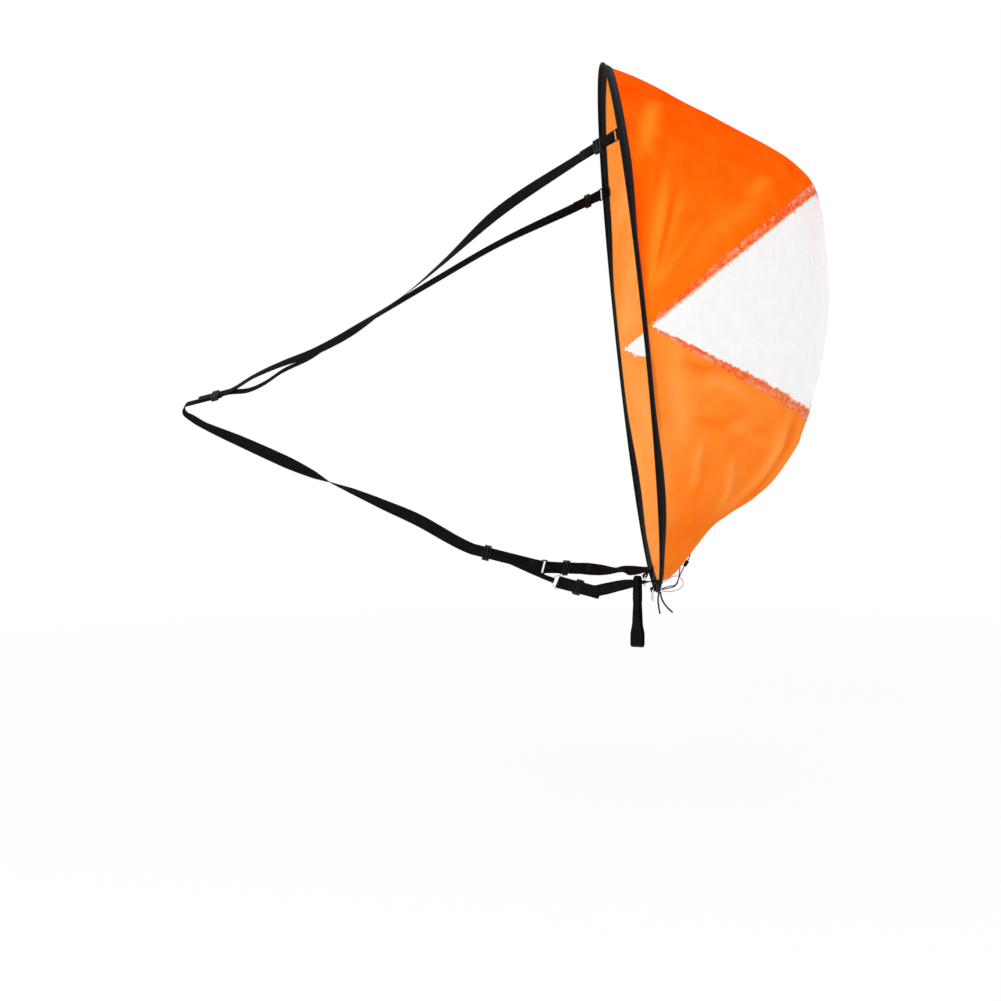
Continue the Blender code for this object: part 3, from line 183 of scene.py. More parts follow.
NEAR_LEG_TAIL = 0.098
FAR_LEG_TAIL = 0.105
LOWER_SLIDER_PLACE = 0.115
LOWER_TAIL = 0.026
LOOP_FROM_FOOT = 0.050
LOOP_TOP_RADIUS = 0.0141
LOOP_FOOT_RADIUS = 0.008
LOOP_LENGTH = 0.118

# Cords and their knot
CORD_RADIUS = 0.0011
PALE_CORD_RADIUS = 0.0011
TAIL_RADIUS = 0.0018
KNOT_RADIUS = 0.004
KNOT_TRACE = Vector((0.0240, -0.003, -0.0135))
KNOT_SIDE = -0.003
KNOT_TURN = math.radians(-67)
KNOT_DEEP = 0.62
KNOT_MEAN = 0.68
KNOT_SWING = 0.32
NEAR_HEAD = (-0.029713, 0.044646, 0.003500)
FAR_HEAD = (0.030153, 0.028400, 0.003300)

# Webbing routes: a place and the turn of the webbing's width from level, in degrees
NEAR_REIN_ROUTE = (
    (-0.2978, -0.2492, 0.7338, 78), (-0.4177, -0.1688, 0.6382, 26),
    (-0.5008, -0.1152, 0.5775, 8), (-0.604, -0.0509, 0.5152, 54),
    (-0.690, -0.010, 0.4743, 46), (-0.7613, 0.0, 0.4487, 32),
    (-0.815, 0.0, 0.4245, 24),
)
FAR_REIN_ROUTE = (
    (-0.313, 0.2646, 0.7274, -30), (-0.4613, 0.1648, 0.6303, -26),
    (-0.5223, 0.122, 0.5885, -20), (-0.5817, 0.0793, 0.5465, -8),
    (-0.6395, 0.0365, 0.5065, 10), (-0.698, 0.006, 0.4640, 24),
    (-0.7536, 0.0, 0.4365, 24), (-0.792, 0.0, 0.4110, 24),
    (-0.826, 0.0, 0.3960, 24),
)
LOWER_ROUTE = (
    (-0.9200, 0.004, 0.3240, 30), (-0.8409, 0.0, 0.2898, 62),
    (-0.7482, 0.0, 0.2480, 92), (-0.690, 0.0, 0.2215, 135),
    (-0.6534, 0.0, 0.2047, 178), (-0.6100, 0.0, 0.1875, 205),
    (-0.5401, 0.0, 0.1573, 235), (-0.4750, 0.0, 0.1285, 262),
)
NEAR_LEG_ROUTE = (
    (-0.0930, -0.0880, -0.0040, 66), (-0.0560, -0.1090, 0.0065, 48),
)
FAR_LEG_ROUTE = (
    (-0.0980, 0.0640, 0.0205, 60), (-0.0560, 0.0900, 0.0180, 12),
    (-0.0340, 0.1080, 0.0150, 44),
)

# Ring places, and the ways that webbing pulls there
REIN_PULL = Vector((-0.801, 0.377, -0.464))
JUNCTION = Vector((-0.2207, 0.0, 0.0327))
LOWER_PULL = Vector((0.970, 0.0, -0.242))
FAR_LEG_PULL = Vector((0.880, 0.470, -0.070))
NEAR_LINK = Vector((-0.1967, -0.025, 0.0073))
NEAR_LINK_PULL = Vector((0.929, -0.144, -0.341))
NEAR_LEG_PULL = Vector((0.8438, -0.509, -0.173))

# Middle lines of the cords
NEAR_CORD_TRACE = (
    (0.08395, -0.02992, 0.05779),
    (0.0833, -0.0298, 0.0559), (0.0798, -0.0293, 0.0499), (0.0763, -0.0288, 0.0439),
    (0.0728, -0.0283, 0.0379), (0.0699, -0.0265, 0.0311), (0.0668, -0.0250, 0.0244),
    (0.0641, -0.0230, 0.0178), (0.0618, -0.0210, 0.0110), (0.0592, -0.0190, 0.0050),
    (0.0560, -0.0165, -0.0008), (0.0508, -0.0135, -0.0036), (0.0450, -0.0100, -0.0050),
    (0.0392, -0.0078, -0.0070), (0.0335, -0.0060, -0.0094), (0.0280, -0.0047, -0.0118),
)
FAR_CORD_TRACE = (
    (0.0698, 0.0303, 0.0393),
    (0.0692, 0.0300, 0.0333), (0.0686, 0.0297, 0.0273), (0.0679, 0.0293, 0.0213),
    (0.0670, 0.0285, 0.0153), (0.0660, 0.0270, 0.0094), (0.0645, 0.0250, 0.0038),
    (0.0622, 0.0222, -0.0014), (0.0590, 0.0186, -0.0056), (0.0548, 0.0142, -0.0082),
    (0.0496, 0.0104, -0.0098), (0.0440, 0.0066, -0.0110), (0.0386, 0.0034, -0.0120),
    (0.0334, 0.0008, -0.0128), (0.0283, -0.0012, -0.0132),
)
PALE_CORD_TRACE = (
    (0.0261, -0.0024, -0.0097), (0.0270, -0.0018, -0.0054), (0.0296, -0.0008, -0.0006),
    (0.0330, -0.0006, 0.0024), (0.0370, -0.0010, 0.0052), (0.0412, -0.0020, 0.0080),
    (0.0462, -0.0030, 0.0112),
    (0.0516, -0.0042, 0.0136), (0.0572, -0.0054, 0.0146), (0.0626, -0.0066, 0.0136),
    (0.0676, -0.0076, 0.0098), (0.0708, -0.0084, 0.0044), (0.0718, -0.0090, -0.0014),
    (0.0698, -0.0094, -0.0068), (0.0650, -0.0094, -0.0112), (0.0594, -0.0088, -0.0140),
    (0.0536, -0.0078, -0.0158), (0.0478, -0.0064, -0.0168), (0.0426, -0.0050, -0.0174),
    (0.0376, -0.0040, -0.0174), (0.0328, -0.0034, -0.0168), (0.0284, -0.0030, -0.0153),
)
LONG_TAIL_TRACE = (
    (0.0255, -0.0036, -0.0179), (0.0262, -0.0038, -0.0240), (0.0276, -0.0042, -0.0300),
    (0.0298, -0.0046, -0.0360), (0.0330, -0.0052, -0.0415), (0.0368, -0.0058, -0.0468),
    (0.0410, -0.0064, -0.0516), (0.0456, -0.0070, -0.0560), (0.0504, -0.0076, -0.0600),
)
SHORT_TAIL_TRACE = (
    (0.0226, -0.0060, -0.0171), (0.0218, -0.0072, -0.0222), (0.0208, -0.0084, -0.0282),
    (0.0204, -0.0092, -0.0342), (0.0206, -0.0098, -0.0402), (0.0214, -0.0102, -0.0462),
    (0.0222, -0.0104, -0.0522), (0.0234, -0.0106, -0.0582), (0.0240, -0.0106, -0.0625),
)


# Curves and paths


def smooth_curve(xs, ys):
    """Reader of a smooth curve through points that never overshoots them."""
    xs, ys = np.array(xs, dtype=float), np.array(ys, dtype=float)
    steps = np.diff(xs)
    rises = np.diff(ys) / steps
    slopes = [rises[0]]
    for i in range(1, len(steps)):
        if rises[i - 1] * rises[i] <= 0:
            slopes.append(0)
            continue
        before = 2 * steps[i] + steps[i - 1]
        after = steps[i] + 2 * steps[i - 1]
        slopes.append((before + after) / (before / rises[i - 1] + after / rises[i]))
    slopes = np.array(slopes + [rises[-1]])

    def read(x):
        x = np.clip(x, xs[0], xs[-1])
        i = np.clip(np.searchsorted(xs, x, side="right") - 1, 0, len(xs) - 2)
        step = xs[i + 1] - xs[i]
        t = (x - xs[i]) / step
        start = (1 + 2 * t) * (1 - t) ** 2 * ys[i] + t * (1 - t) ** 2 * step * slopes[i]
        end = t * t * (3 - 2 * t) * ys[i + 1] + t * t * (t - 1) * step * slopes[i + 1]
        return start + end

    return read


def wrap(enter, leave, centre, radius, turn, steps):
    """Plane path from enter round a circle to leave; turn is +1 for anticlockwise."""
    enter, leave, centre = Vector(enter), Vector(leave), Vector(centre)
    inward = centre - enter
    away = leave - centre
    first = math.atan2(inward.y, inward.x) - turn * math.asin(radius / inward.length)
    last = math.atan2(away.y, away.x) + turn * math.asin(radius / away.length)
    sweep = (turn * (last - first)) % (2 * math.pi)
    path = [enter]
    for i in range(steps + 1):
        heading = first + turn * sweep * i / steps
        side = Vector((-math.sin(heading), math.cos(heading)))
        path.append(centre - turn * radius * side)
    path.append(leave)
    return path


def smooth(points, spans, first=0, last=None):
    """Smooth curve through points, from the first to the last one asked for."""
    end = len(points) - 1
    last = end if last is None else last
    line = []
    for i in range(first, last):
        four = points[max(i - 1, 0)], points[i], points[i + 1], points[min(i + 2, end)]
        line += [blend(*four, k / spans) for k in range(spans)]
    return line + [points[last]]


def glide(stations, before=None, after=None):
    """Smooth curve through (place, width) stations; before and after guide its ends."""
    guided = ([before] if before else []) + stations + ([after] if after else [])
    first = 1 if before else 0
    last = first + len(stations) - 1
    places, widths = [smooth([s[k] for s in guided], SPANS, first, last) for k in (0, 1)]
    return [(place, wide.normalized()) for place, wide in zip(places, widths)]


def blend(a, b, c, d, t):
    """Centripetal-like smooth step between b and c."""
    reach = (c - b).length
    first = (b - a).length
    last = (d - c).length
    left = (c - a) * (reach / (reach + first)) if first else (c - b)
    right = (d - b) * (reach / (reach + last)) if last else (c - b)
    h1 = (1 + 2 * t) * (1 - t) ** 2
    h2 = t * (1 - t) ** 2
    h3 = t * t * (3 - 2 * t)
    h4 = t * t * (t - 1)
    return b * h1 + left * h2 + c * h3 + right * h4


def tilted(angle):
    """Width direction of webbing, turned from level by an angle in degrees."""
    turn = math.radians(angle)
    return Vector((0, math.cos(turn), math.sin(turn)))


def route_stations(route):
    return [(Vector(p[:3]), tilted(p[3])) for p in route]


# Places on the hoop, the bowl and the harness


def hoop_vectors():
    up = Vector((-math.sin(HOOP_LEAN), 0, math.cos(HOOP_LEAN)))
    downwind = Vector((math.cos(HOOP_LEAN), 0, math.sin(HOOP_LEAN)))
    return up, downwind


UP, DOWNWIND = hoop_vectors()
HOOP_CENTRE = Vector((-HOOP_BACK, 0, HOOP_HEIGHT))


def bowl_place(across, up, deep):
    return HOOP_CENTRE + Y_AXIS * across + UP * up + DOWNWIND * deep


def radial(angle):
    turn = math.radians(angle)
    return UP * math.cos(turn) + Y_AXIS * math.sin(turn)


def tangent(angle):
    turn = math.radians(angle)
    return Y_AXIS * math.cos(turn) - UP * math.sin(turn)


HALF_STATIONS = sorted(set(range(0, 181, STATION_STEP)) | {CORNER_ANGLE})
rim_lean = smooth_curve(RIM_ANGLE_PLACES, RIM_ANGLES)


def rim_angle(angle):
    """Angle between the cloth and the hoop's plane at a station."""
    return math.radians(rim_lean(abs((angle + 180) % 360 - 180)))


def facet_radius(angle):
    """Radius of the straight run between two stations, read at any angle."""
    folded = abs((angle + 180) % 360 - 180)
    for low, high in zip(HALF_STATIONS, HALF_STATIONS[1:]):
        if folded <= high:
            half = math.radians(high - low) / 2
            return HOOP_RADIUS * math.cos(half) / math.cos(math.radians(folded - low) - half)
    return HOOP_RADIUS


def rim_frame(angle):
    """Wire place, direction into the cloth, direction upwind off the cloth, tangent."""
    lean = rim_angle(angle)
    out = radial(angle)
    wire = HOOP_CENTRE + out * facet_radius(angle)
    inward = DOWNWIND * math.sin(lean) - out * math.cos(lean)
    upwind = -DOWNWIND * math.cos(lean) - out * math.sin(lean)
    return wire, inward, upwind, tangent(angle)


def rim_point(angle, inward, upwind):
    wire, a, b, _ = rim_frame(angle)
    return wire + a * inward + b * upwind


def edge_point(angle):
    """Where the free cloth starts, as (across, up, deep)."""
    lean = rim_angle(angle)
    reach = HOOP_RADIUS - EDGE_STRIP * math.cos(lean)
    turn = math.radians(angle)
    return reach * math.sin(turn), reach * math.cos(turn), EDGE_STRIP * math.sin(lean)


EDGE_TABLE = [edge_point(180 - a) for a in range(0, 181)]
KEEL_X = [EDGE_TABLE[0][1]] + [s[0] * HOOP_RADIUS for s in KEEL_SHARES] + [EDGE_TABLE[-1][1]]
KEEL_Y = [EDGE_TABLE[0][2]] + [s[1] * BOWL_DEPTH for s in KEEL_SHARES] + [EDGE_TABLE[-1][2]]
keel_depth = smooth_curve(KEEL_X, KEEL_Y)


def bowl_normal(across, up):
    """Outward direction of the bowl, on its downwind side."""
    rise = (depth_at(across, up + CLOTH) - depth_at(across, up - CLOTH)) / (2 * CLOTH)
    swing = (depth_at(across + CLOTH, up) - depth_at(across - CLOTH, up)) / (2 * CLOTH)
    return (DOWNWIND - UP * rise - Y_AXIS * swing).normalized()


CORNER = edge_point(CORNER_ANGLE)
CORNER_UP = CORNER[1]
CORNER_ACROSS = CORNER[0] - CORNER_INSET
BUTT = GAP


def upright(way):
    """The same direction, turned round where it points down."""
    return -way if way.z < 0 else way


def frame_of(along, across):
    """Right-handed frame from two directions."""
    along = along.normalized()
    across = (across - along * across.dot(along)).normalized()
    return along, across, along.cross(across)


BAR_WRAP = RING_WIRE + GAP + WEB / 2
LOOP_PITCH = (WEB + 2 * GAP) / 2

# Stitched boxes across webbing: their length and width, and how far off its middle
# they lie. Those at the hand are sunk, so that the slider runs clear of them.
END_BOX = 0.006
END_BOX_WIDTH = WEB_WIDTH * 0.8
HAND_BOX = 0.026
HAND_BOX_WIDTH = WEB_WIDTH * 0.72
STITCH_OFF = WEB / 2 + GAP / 2
STITCH_SUNK = WEB / 2 - GAP / 2


def eye_path(main_end, tail_end, converge):
    """Plane path of webbing that comes in, turns round a bar and runs back under itself."""
    lead = (converge, LOOP_PITCH)
    back = (converge, -LOOP_PITCH)
    path = wrap(lead, back, (0, 0), BAR_WRAP, 1, EYE_STEPS)
    return [Vector((main_end, LOOP_PITCH))] + path + [Vector((tail_end, -LOOP_PITCH))]


def to_space(path, origin, along, normal, across):
    return [(origin + along * p[0] + normal * p[1], across) for p in path]


def rein_frame(angle):
    """Ring bar places and directions where a rein leaves the rim."""
    across = rim_frame(angle)[3]
    pull = REIN_PULL.copy()
    pull.y *= -math.copysign(1, angle)
    pull = (pull - across * pull.dot(across)).normalized()
    bar = rim_point(angle, REIN_FOOT_INNER, tab_offset()) + pull * REIN_RING_REACH
    return bar, pull, across, pull.cross(across)


def tab_offset():
    """Height of a tab's middle line over the binding's cloth line."""
    turn_drop = WEB_WIDTH / 2 * math.sin(math.radians(STATION_STEP / 2))
    return CLOTH / 2 + SLOT_GAP + TAPE + GAP + turn_drop + WEB / 2


def plane_of(angle, place):
    """A place's (inward, upwind) values at a rim station."""
    wire, inward, upwind, _ = rim_frame(angle)
    return Vector(((place - wire).dot(inward), (place - wire).dot(upwind)))


def hand_plane():
    """Directions of the tilted plane in which the hand loop lies."""
    rise = Vector((0, -math.sin(HAND_TILT), math.cos(HAND_TILT)))
    across = Vector((0, math.cos(HAND_TILT), math.sin(HAND_TILT)))
    flow = (-X_AXIS - rise * HAND_SLOPE).normalized()
    return flow, across, upright(flow.cross(across))


HAND = Vector((HAND_X, 0, HAND_Z))


def hand_station(reach, layer):
    flow, across, normal = hand_plane()
    return HAND + flow * reach + normal * LAYER_PITCH * layer, across


def junction_frame():
    """Common bar direction for the lower strap and the far leg."""
    across = LOWER_PULL.cross(FAR_LEG_PULL).normalized()
    pull = LOWER_PULL.normalized()
    leg = FAR_LEG_PULL.normalized()
    return pull, leg, across


def near_frame():
    pull = NEAR_LINK_PULL.normalized()
    leg = NEAR_LEG_PULL.normalized()
    across = leg.cross(pull).normalized()
    return pull, leg, across


def slider_line():
    """Place and directions of the lower strap where its slider sits."""
    pull, _, across = junction_frame()
    return JUNCTION - pull * LOWER_SLIDER_PLACE, pull, across


def leg_foot(angle):
    """Stations of a leg's sewn end on the binding, nearest the harness first."""
    wire, inward, upwind, across = rim_frame(angle)
    low = tab_offset() + WEB + GAP
    bend = WEB + GAP
    outline = [Vector((LEG_FOOT_OUTER - back * bend, low + rise * bend))
               for back, rise in LEG_FOOT_BENDS]
    return to_space(outline, wire, inward, upwind, across)


def foot_angle(side):
    """Rim angle of a deck ring's tab."""
    return side * (180 - math.degrees(math.asin(DECK_RING_OFFSET / HOOP_RADIUS)))


def place_from_end(stations, distance):
    """Place and direction on a strap at a distance from its last station."""
    for (there, _), (here, _) in zip(reversed(stations[:-1]), reversed(stations)):
        step = (here - there).length
        if distance <= step:
            return here + (there - here) * distance / step, (here - there).normalized()
        distance -= step
    return stations[0][0], (stations[1][0] - stations[0][0]).normalized()


def knot_place():
    """Centre of the knot, against the binding at the hoop's foot."""
    reach = BEAD_BORE + TAPE + GAP + KNOT_RADIUS
    on_rim = rim_point(180, reach * math.cos(KNOT_TURN), reach * math.sin(KNOT_TURN))
    return on_rim + Y_AXIS * KNOT_SIDE


def head_place(head):
    """Place off the lower panel, from across, height over its foot and standoff."""
    across, above, off = head
    up = EDGE_TABLE[0][1] + above
    return bowl_place(across, up, depth_at(across, up)) + bowl_normal(across, up) * off


def follow(trace, head=None):
    """Traced route, moved with the panel at its head and with the knot at its foot."""
    knot_shift = knot_place() - KNOT_TRACE
    head_shift = head_place(head) - Vector(trace[0]) if head else knot_shift
    last = len(trace) - 1
    return [Vector(p) + head_shift.lerp(knot_shift, i / last) for i, p in enumerate(trace)]


# Bowl surface, read at many places at once

EDGE_UP = np.array([e[1] for e in EDGE_TABLE])
EDGE_HALF = np.array([e[0] for e in EDGE_TABLE])
EDGE_DEEP = np.array([e[2] for e in EDGE_TABLE])
CENTRE = np.array(HOOP_CENTRE)
UPWARD = np.array(UP)
OUTWARD = np.array(DOWNWIND)
SIDEWAYS = np.array(Y_AXIS)
PROBE = 0.0005


def depth_at(across, up):
    """Depth of the bowl: a parabola across each level section."""
    half = np.maximum(np.interp(up, EDGE_UP, EDGE_HALF), GAP)
    rim = np.interp(up, EDGE_UP, EDGE_DEEP)
    share = np.clip(np.abs(across) / half, 0, 1)
    return rim + (keel_depth(up) - rim) * (1 - share * share)


def bowl_places(across, up, deep):
    """World places of arrays of bowl coordinates."""
    parts = across[..., None] * SIDEWAYS + up[..., None] * UPWARD + deep[..., None] * OUTWARD
    return CENTRE + parts


def bowl_normals(across, up):
    """Unit directions off the outer side of the bowl."""
    by_across = (depth_at(across + PROBE, up) - depth_at(across - PROBE, up)) / (2 * PROBE)
    by_up = (depth_at(across, up + PROBE) - depth_at(across, up - PROBE)) / (2 * PROBE)
    found = OUTWARD - by_across[..., None] * SIDEWAYS - by_up[..., None] * UPWARD
    return found / np.linalg.norm(found, axis=-1, keepdims=True)


CORNER_DEPTH = float(depth_at(np.array(CORNER_ACROSS), np.array(CORNER_UP)))


def seam_height(across, slope, start):
    """Height where a seam that is straight from the side crosses the bowl."""
    up = np.full_like(across, start)
    for _ in range(SEAM_ROUNDS):
        goal = start + slope * (depth_at(across, up) - CORNER_DEPTH)
        up += (goal - up) / 2
    return np.where(np.abs(across) > CORNER_ACROSS - MERGE, start, up)


def lap_at(across):
    """Width of the film's lap over the cloth, narrow at the window's corners."""
    share = np.clip(np.abs(across) / CORNER_ACROSS, 0, 1)
    return FILM_END_LAP + (SEAM_LAP - FILM_END_LAP) * np.sqrt(1 - share * share)


def seam_table(slope, start):
    """Places along a window seam: across, height and length sewn so far."""
    turns = np.linspace(-math.pi / 2, math.pi / 2, SEAM_SPANS + 1)
    across = CORNER_ACROSS * np.sin(turns)
    up = seam_height(across, slope, start)
    places = bowl_places(across, up, depth_at(across, up))
    steps = np.linalg.norm(np.diff(places, axis=0), axis=1)
    return across, up, np.concatenate(([0], np.cumsum(steps)))


NEAR_CORD_ROUTE = follow(NEAR_CORD_TRACE, NEAR_HEAD)
FAR_CORD_ROUTE = follow(FAR_CORD_TRACE, FAR_HEAD)
PALE_CORD_ROUTE = follow(PALE_CORD_TRACE)
LONG_TAIL_ROUTE = follow(LONG_TAIL_TRACE)
SHORT_TAIL_ROUTE = follow(SHORT_TAIL_TRACE)
UPPER_SEAM = seam_table(UPPER_SEAM_SLOPE, CORNER_UP + BUTT)
LOWER_SEAM = seam_table(-LOWER_SEAM_SLOPE, CORNER_UP - BUTT)


# Folds, puckers and creases

# Each fold: (x, z) places seen from the side, half width, height off the cloth
FOLDS = (
    (((-0.031, 0.545), (-0.010, 0.640), (0.007, 0.720)), 0.009, 0.0036),
    (((-0.028, 0.545), (0.002, 0.660), (0.026, 0.750)), 0.008, -0.0030),
    (((-0.011, 0.573), (0.030, 0.640), (0.069, 0.693)), 0.009, 0.0030),
    (((0.013, 0.580), (0.060, 0.632), (0.117, 0.673)), 0.012, -0.0022),
    (((-0.032, 0.717), (-0.008, 0.840), (0.017, 0.946)), 0.010, 0.0030),
    (((-0.040, 0.518), (-0.050, 0.650), (-0.052, 0.801)), 0.009, -0.0026),
    (((0.161, 0.748), (0.195, 0.772), (0.223, 0.789)), 0.010, 0.0028),
    (((0.249, 0.845), (0.272, 0.822), (0.288, 0.796)), 0.012, -0.0024),
    (((0.249, 0.348), (0.234, 0.273), (0.197, 0.217), (0.125, 0.146)), 0.015, 0.0060),
    (((0.288, 0.343), (0.283, 0.295), (0.221, 0.217), (0.169, 0.167)), 0.012, 0.0040),
    (((0.268, 0.330), (0.258, 0.285), (0.206, 0.212), (0.150, 0.160)), 0.010, -0.0045),
    (((0.073, 0.299), (0.056, 0.240)), 0.008, 0.0030),
    (((0.136, 0.266), (0.132, 0.203), (0.115, 0.163)), 0.009, 0.0034),
    (((0.032, 0.433), (0.074, 0.420), (0.126, 0.412)), 0.008, -0.0026),
    (((0.120, 0.392), (0.064, 0.353)), 0.009, -0.0028),
    (((0.002, 0.305), (0.070, 0.293)), 0.009, 0.0026),
    (((0.206, 0.376), (0.230, 0.352), (0.249, 0.327)), 0.009, 0.0030),
    (((0.110, 0.176), (0.118, 0.158), (0.125, 0.139)), 0.008, -0.0026),
    (((-0.024, 0.458), (-0.012, 0.340), (0.005, 0.201)), 0.014, 0.0030),
)
FOLD_END = 0.02
FAR_SHIFT = 0.018
FAR_SHARE = 0.8
NEAR_BAND = 0.06
EDGE_FADE = 0.016
CALM_REACH = 0.026

# Each ray of painted fold light or painted shade: places as above, half width, share of its tone
# (above 0 a painted highlight, below 0 painted shade)
PAINTED_FOLD_LIGHT_RAYS = (
    (((-0.033, 0.545), (-0.018, 0.640), (-0.002, 0.730), (0.010, 0.790)), 0.012, 0.75),
    (((-0.027, 0.560), (0.010, 0.670), (0.040, 0.760)), 0.010, 0.6),
    (((-0.012, 0.573), (0.028, 0.640), (0.069, 0.703)), 0.010, 0.55),
    (((0.018, 0.590), (0.070, 0.650), (0.140, 0.710), (0.215, 0.770)), 0.016, 0.45),
    (((-0.036, 0.800), (-0.022, 0.880), (-0.002, 0.945)), 0.015, 0.8),
    (((-0.040, 0.640), (-0.038, 0.750), (-0.030, 0.830)), 0.009, -0.5),
    (((-0.042, 0.540), (-0.052, 0.650), (-0.056, 0.790)), 0.010, -0.9),
    (((-0.015, 0.600), (0.006, 0.680), (0.022, 0.740)), 0.007, -0.5),
    (((0.000, 0.600), (0.040, 0.665), (0.070, 0.720)), 0.007, -0.4),
    (((0.161, 0.748), (0.195, 0.780), (0.223, 0.795)), 0.013, 0.5),
    (((0.249, 0.845), (0.272, 0.822), (0.288, 0.796)), 0.010, -0.5),
    (((0.258, 0.355), (0.240, 0.285), (0.205, 0.228), (0.130, 0.150)), 0.013, 0.85),
    (((0.292, 0.355), (0.286, 0.300), (0.240, 0.238), (0.200, 0.190)), 0.015, 0.55),
    (((0.276, 0.345), (0.263, 0.290), (0.218, 0.226), (0.150, 0.160)), 0.009, -0.9),
    (((0.010, 0.470), (0.020, 0.400), (0.030, 0.340), (0.028, 0.280)), 0.022, 0.55),
    (((0.028, 0.440), (0.070, 0.428), (0.122, 0.432)), 0.009, -0.7),
    (((0.060, 0.405), (0.110, 0.400), (0.170, 0.372)), 0.012, 0.45),
    (((0.050, 0.335), (0.110, 0.330), (0.160, 0.352)), 0.009, -0.5),
    (((0.073, 0.299), (0.060, 0.240), (0.052, 0.210)), 0.008, 0.6),
    (((0.118, 0.290), (0.150, 0.300), (0.205, 0.318)), 0.014, -0.45),
    (((0.136, 0.266), (0.132, 0.203), (0.115, 0.150)), 0.009, 0.6),
    (((0.085, 0.270), (0.074, 0.215), (0.060, 0.180)), 0.007, -0.5),
    (((-0.005, 0.330), (0.000, 0.230), (0.012, 0.140)), 0.014, 0.45),
    (((0.030, 0.110), (0.070, 0.128), (0.110, 0.122)), 0.016, -0.45),
    (((0.130, 0.330), (0.180, 0.300), (0.225, 0.290)), 0.010, 0.4),
)

# Gathers at the seams: how their height and their spacing wander, with the width of
# each wandering in gathers
PUCKER_SWELL = (9, 0.65, 0.6)
PUCKER_DRIFT = (5, 2.4)

# Noises: features' width and height, and for tones their share and phase
LOOSE_SPANS = ((0.110, 0.0016), (0.045, 0.0009))
CREASE_SPANS = ((0.044, 0.0012), (0.019, 0.0007), (0.009, 0.0003))
CREASE_FADE = 0.05
FILM_LIFT = 0.0013
JAG_SPANS = ((0.020, 0.0060), (0.0075, 0.0060))
JAG_ROOM = 0.02
JAG_FADE = 8
JAG_LIMIT = -0.2
TONE_SPANS = ((0.07, 0.16, 3.0), (0.03, 0.10, 9.0))
CREASE_PHASE = 7.3
RIDGE_TOP = 0.5
RIDGE_FALL = 2.2
PANEL_PHASES = (0, 5)


def noise_at(places, span, phase=0.0):
    """Smooth noise from -1 to 1 at each place, with features about one span wide."""
    shift = Vector((phase, 1.7 * phase, -0.6 * phase))
    flat = places.reshape(-1, 3)
    found = [noise.noise(Vector(p) / span + shift) for p in flat]
    return np.array(found).reshape(places.shape[:-1])


def along_seam(run):
    """Places on a straight line, for noise that follows a seam."""
    return np.stack((run, np.zeros_like(run), np.zeros_like(run)), axis=-1)


def fold_height(x, z, fold):
    """Height of one fold at side-view places, fading at its two ends."""
    line, wide, high = fold
    best = np.full_like(x, 1.0)
    share = np.zeros_like(x)
    total = sum(math.dist(a, b) for a, b in zip(line, line[1:]))
    done = 0
    for (x0, z0), (x1, z1) in zip(line, line[1:]):
        run = math.dist((x0, z0), (x1, z1))
        along = np.clip(((x - x0) * (x1 - x0) + (z - z0) * (z1 - z0)) / run, 0, run)
        gone = np.hypot(x - x0 - (x1 - x0) * along / run, z - z0 - (z1 - z0) * along / run)
        nearer = gone < best
        best = np.where(nearer, gone, best)
        share = np.where(nearer, (done + along) / total, share)
        done += run
    return high * np.exp(-(best / wide) ** 2) * np.sqrt(np.sin(math.pi * share) + FOLD_END)


def pucker_height(across, up, settings):
    """Gathers that the two sewn seams leave in cloth and film alike."""
    found = np.zeros_like(across)
    (swell_span, mean, swing), (drift_span, slip) = PUCKER_SWELL, PUCKER_DRIFT
    pitch = settings.pucker_pitch
    for seam, phase in ((UPPER_SEAM, 0.0), (LOWER_SEAM, 4.0)):
        run = np.interp(across, seam[0], seam[2])
        off = np.abs(up - np.interp(across, seam[0], seam[1]))
        line = along_seam(run)
        drift = noise_at(line, drift_span * pitch, phase)
        swell = mean + swing * noise_at(line, swell_span * pitch, phase + 2)
        wave = np.sin(2 * math.pi * run / pitch + slip * drift)
        found += settings.pucker_height * swell * wave * np.exp(-off / settings.pucker_reach)
    return found


def side_places(places):
    """Each place seen from the side, lower on the far half, and its share of nearness."""
    near = np.clip(0.5 - places[..., 1] / NEAR_BAND, 0, 1)
    return places[..., 0], places[..., 2] + FAR_SHIFT * (1 - near), near


def sail_height(places, across, up, settings):
    """How far cloth and film stand off the smooth bowl; it lies calm at the cord eyes."""
    x, level, near = side_places(places)
    weight = settings.fold_share * (near + (1 - near) * FAR_SHARE)
    found = pucker_height(across, up, settings)
    for span, high in LOOSE_SPANS:
        found += high * noise_at(places, span)
    for fold in FOLDS:
        found += weight * fold_height(x, level, fold)
    for route in (NEAR_CORD_ROUTE, FAR_CORD_ROUTE):
        gone = np.linalg.norm(places - np.array(route[0]), axis=-1)
        found *= 1 - np.exp(-(gone / CALM_REACH) ** 2)
    return found


def painted_fold_light_shares(places):
    """Painted fold light at each place: 1 is a painted highlight on a fold, 0 painted shade in
    one, with random tone noise mixed in.
    """
    x, level, _ = side_places(places)
    found = np.zeros_like(x)
    for line, wide, share in PAINTED_FOLD_LIGHT_RAYS:
        found += share * fold_height(x, level, (line, wide, 1.0))
    found += sum(part * noise_at(places, span, phase) for span, part, phase in TONE_SPANS)
    return np.clip(0.5 + 0.5 * found, 0, 1)


# Meshes


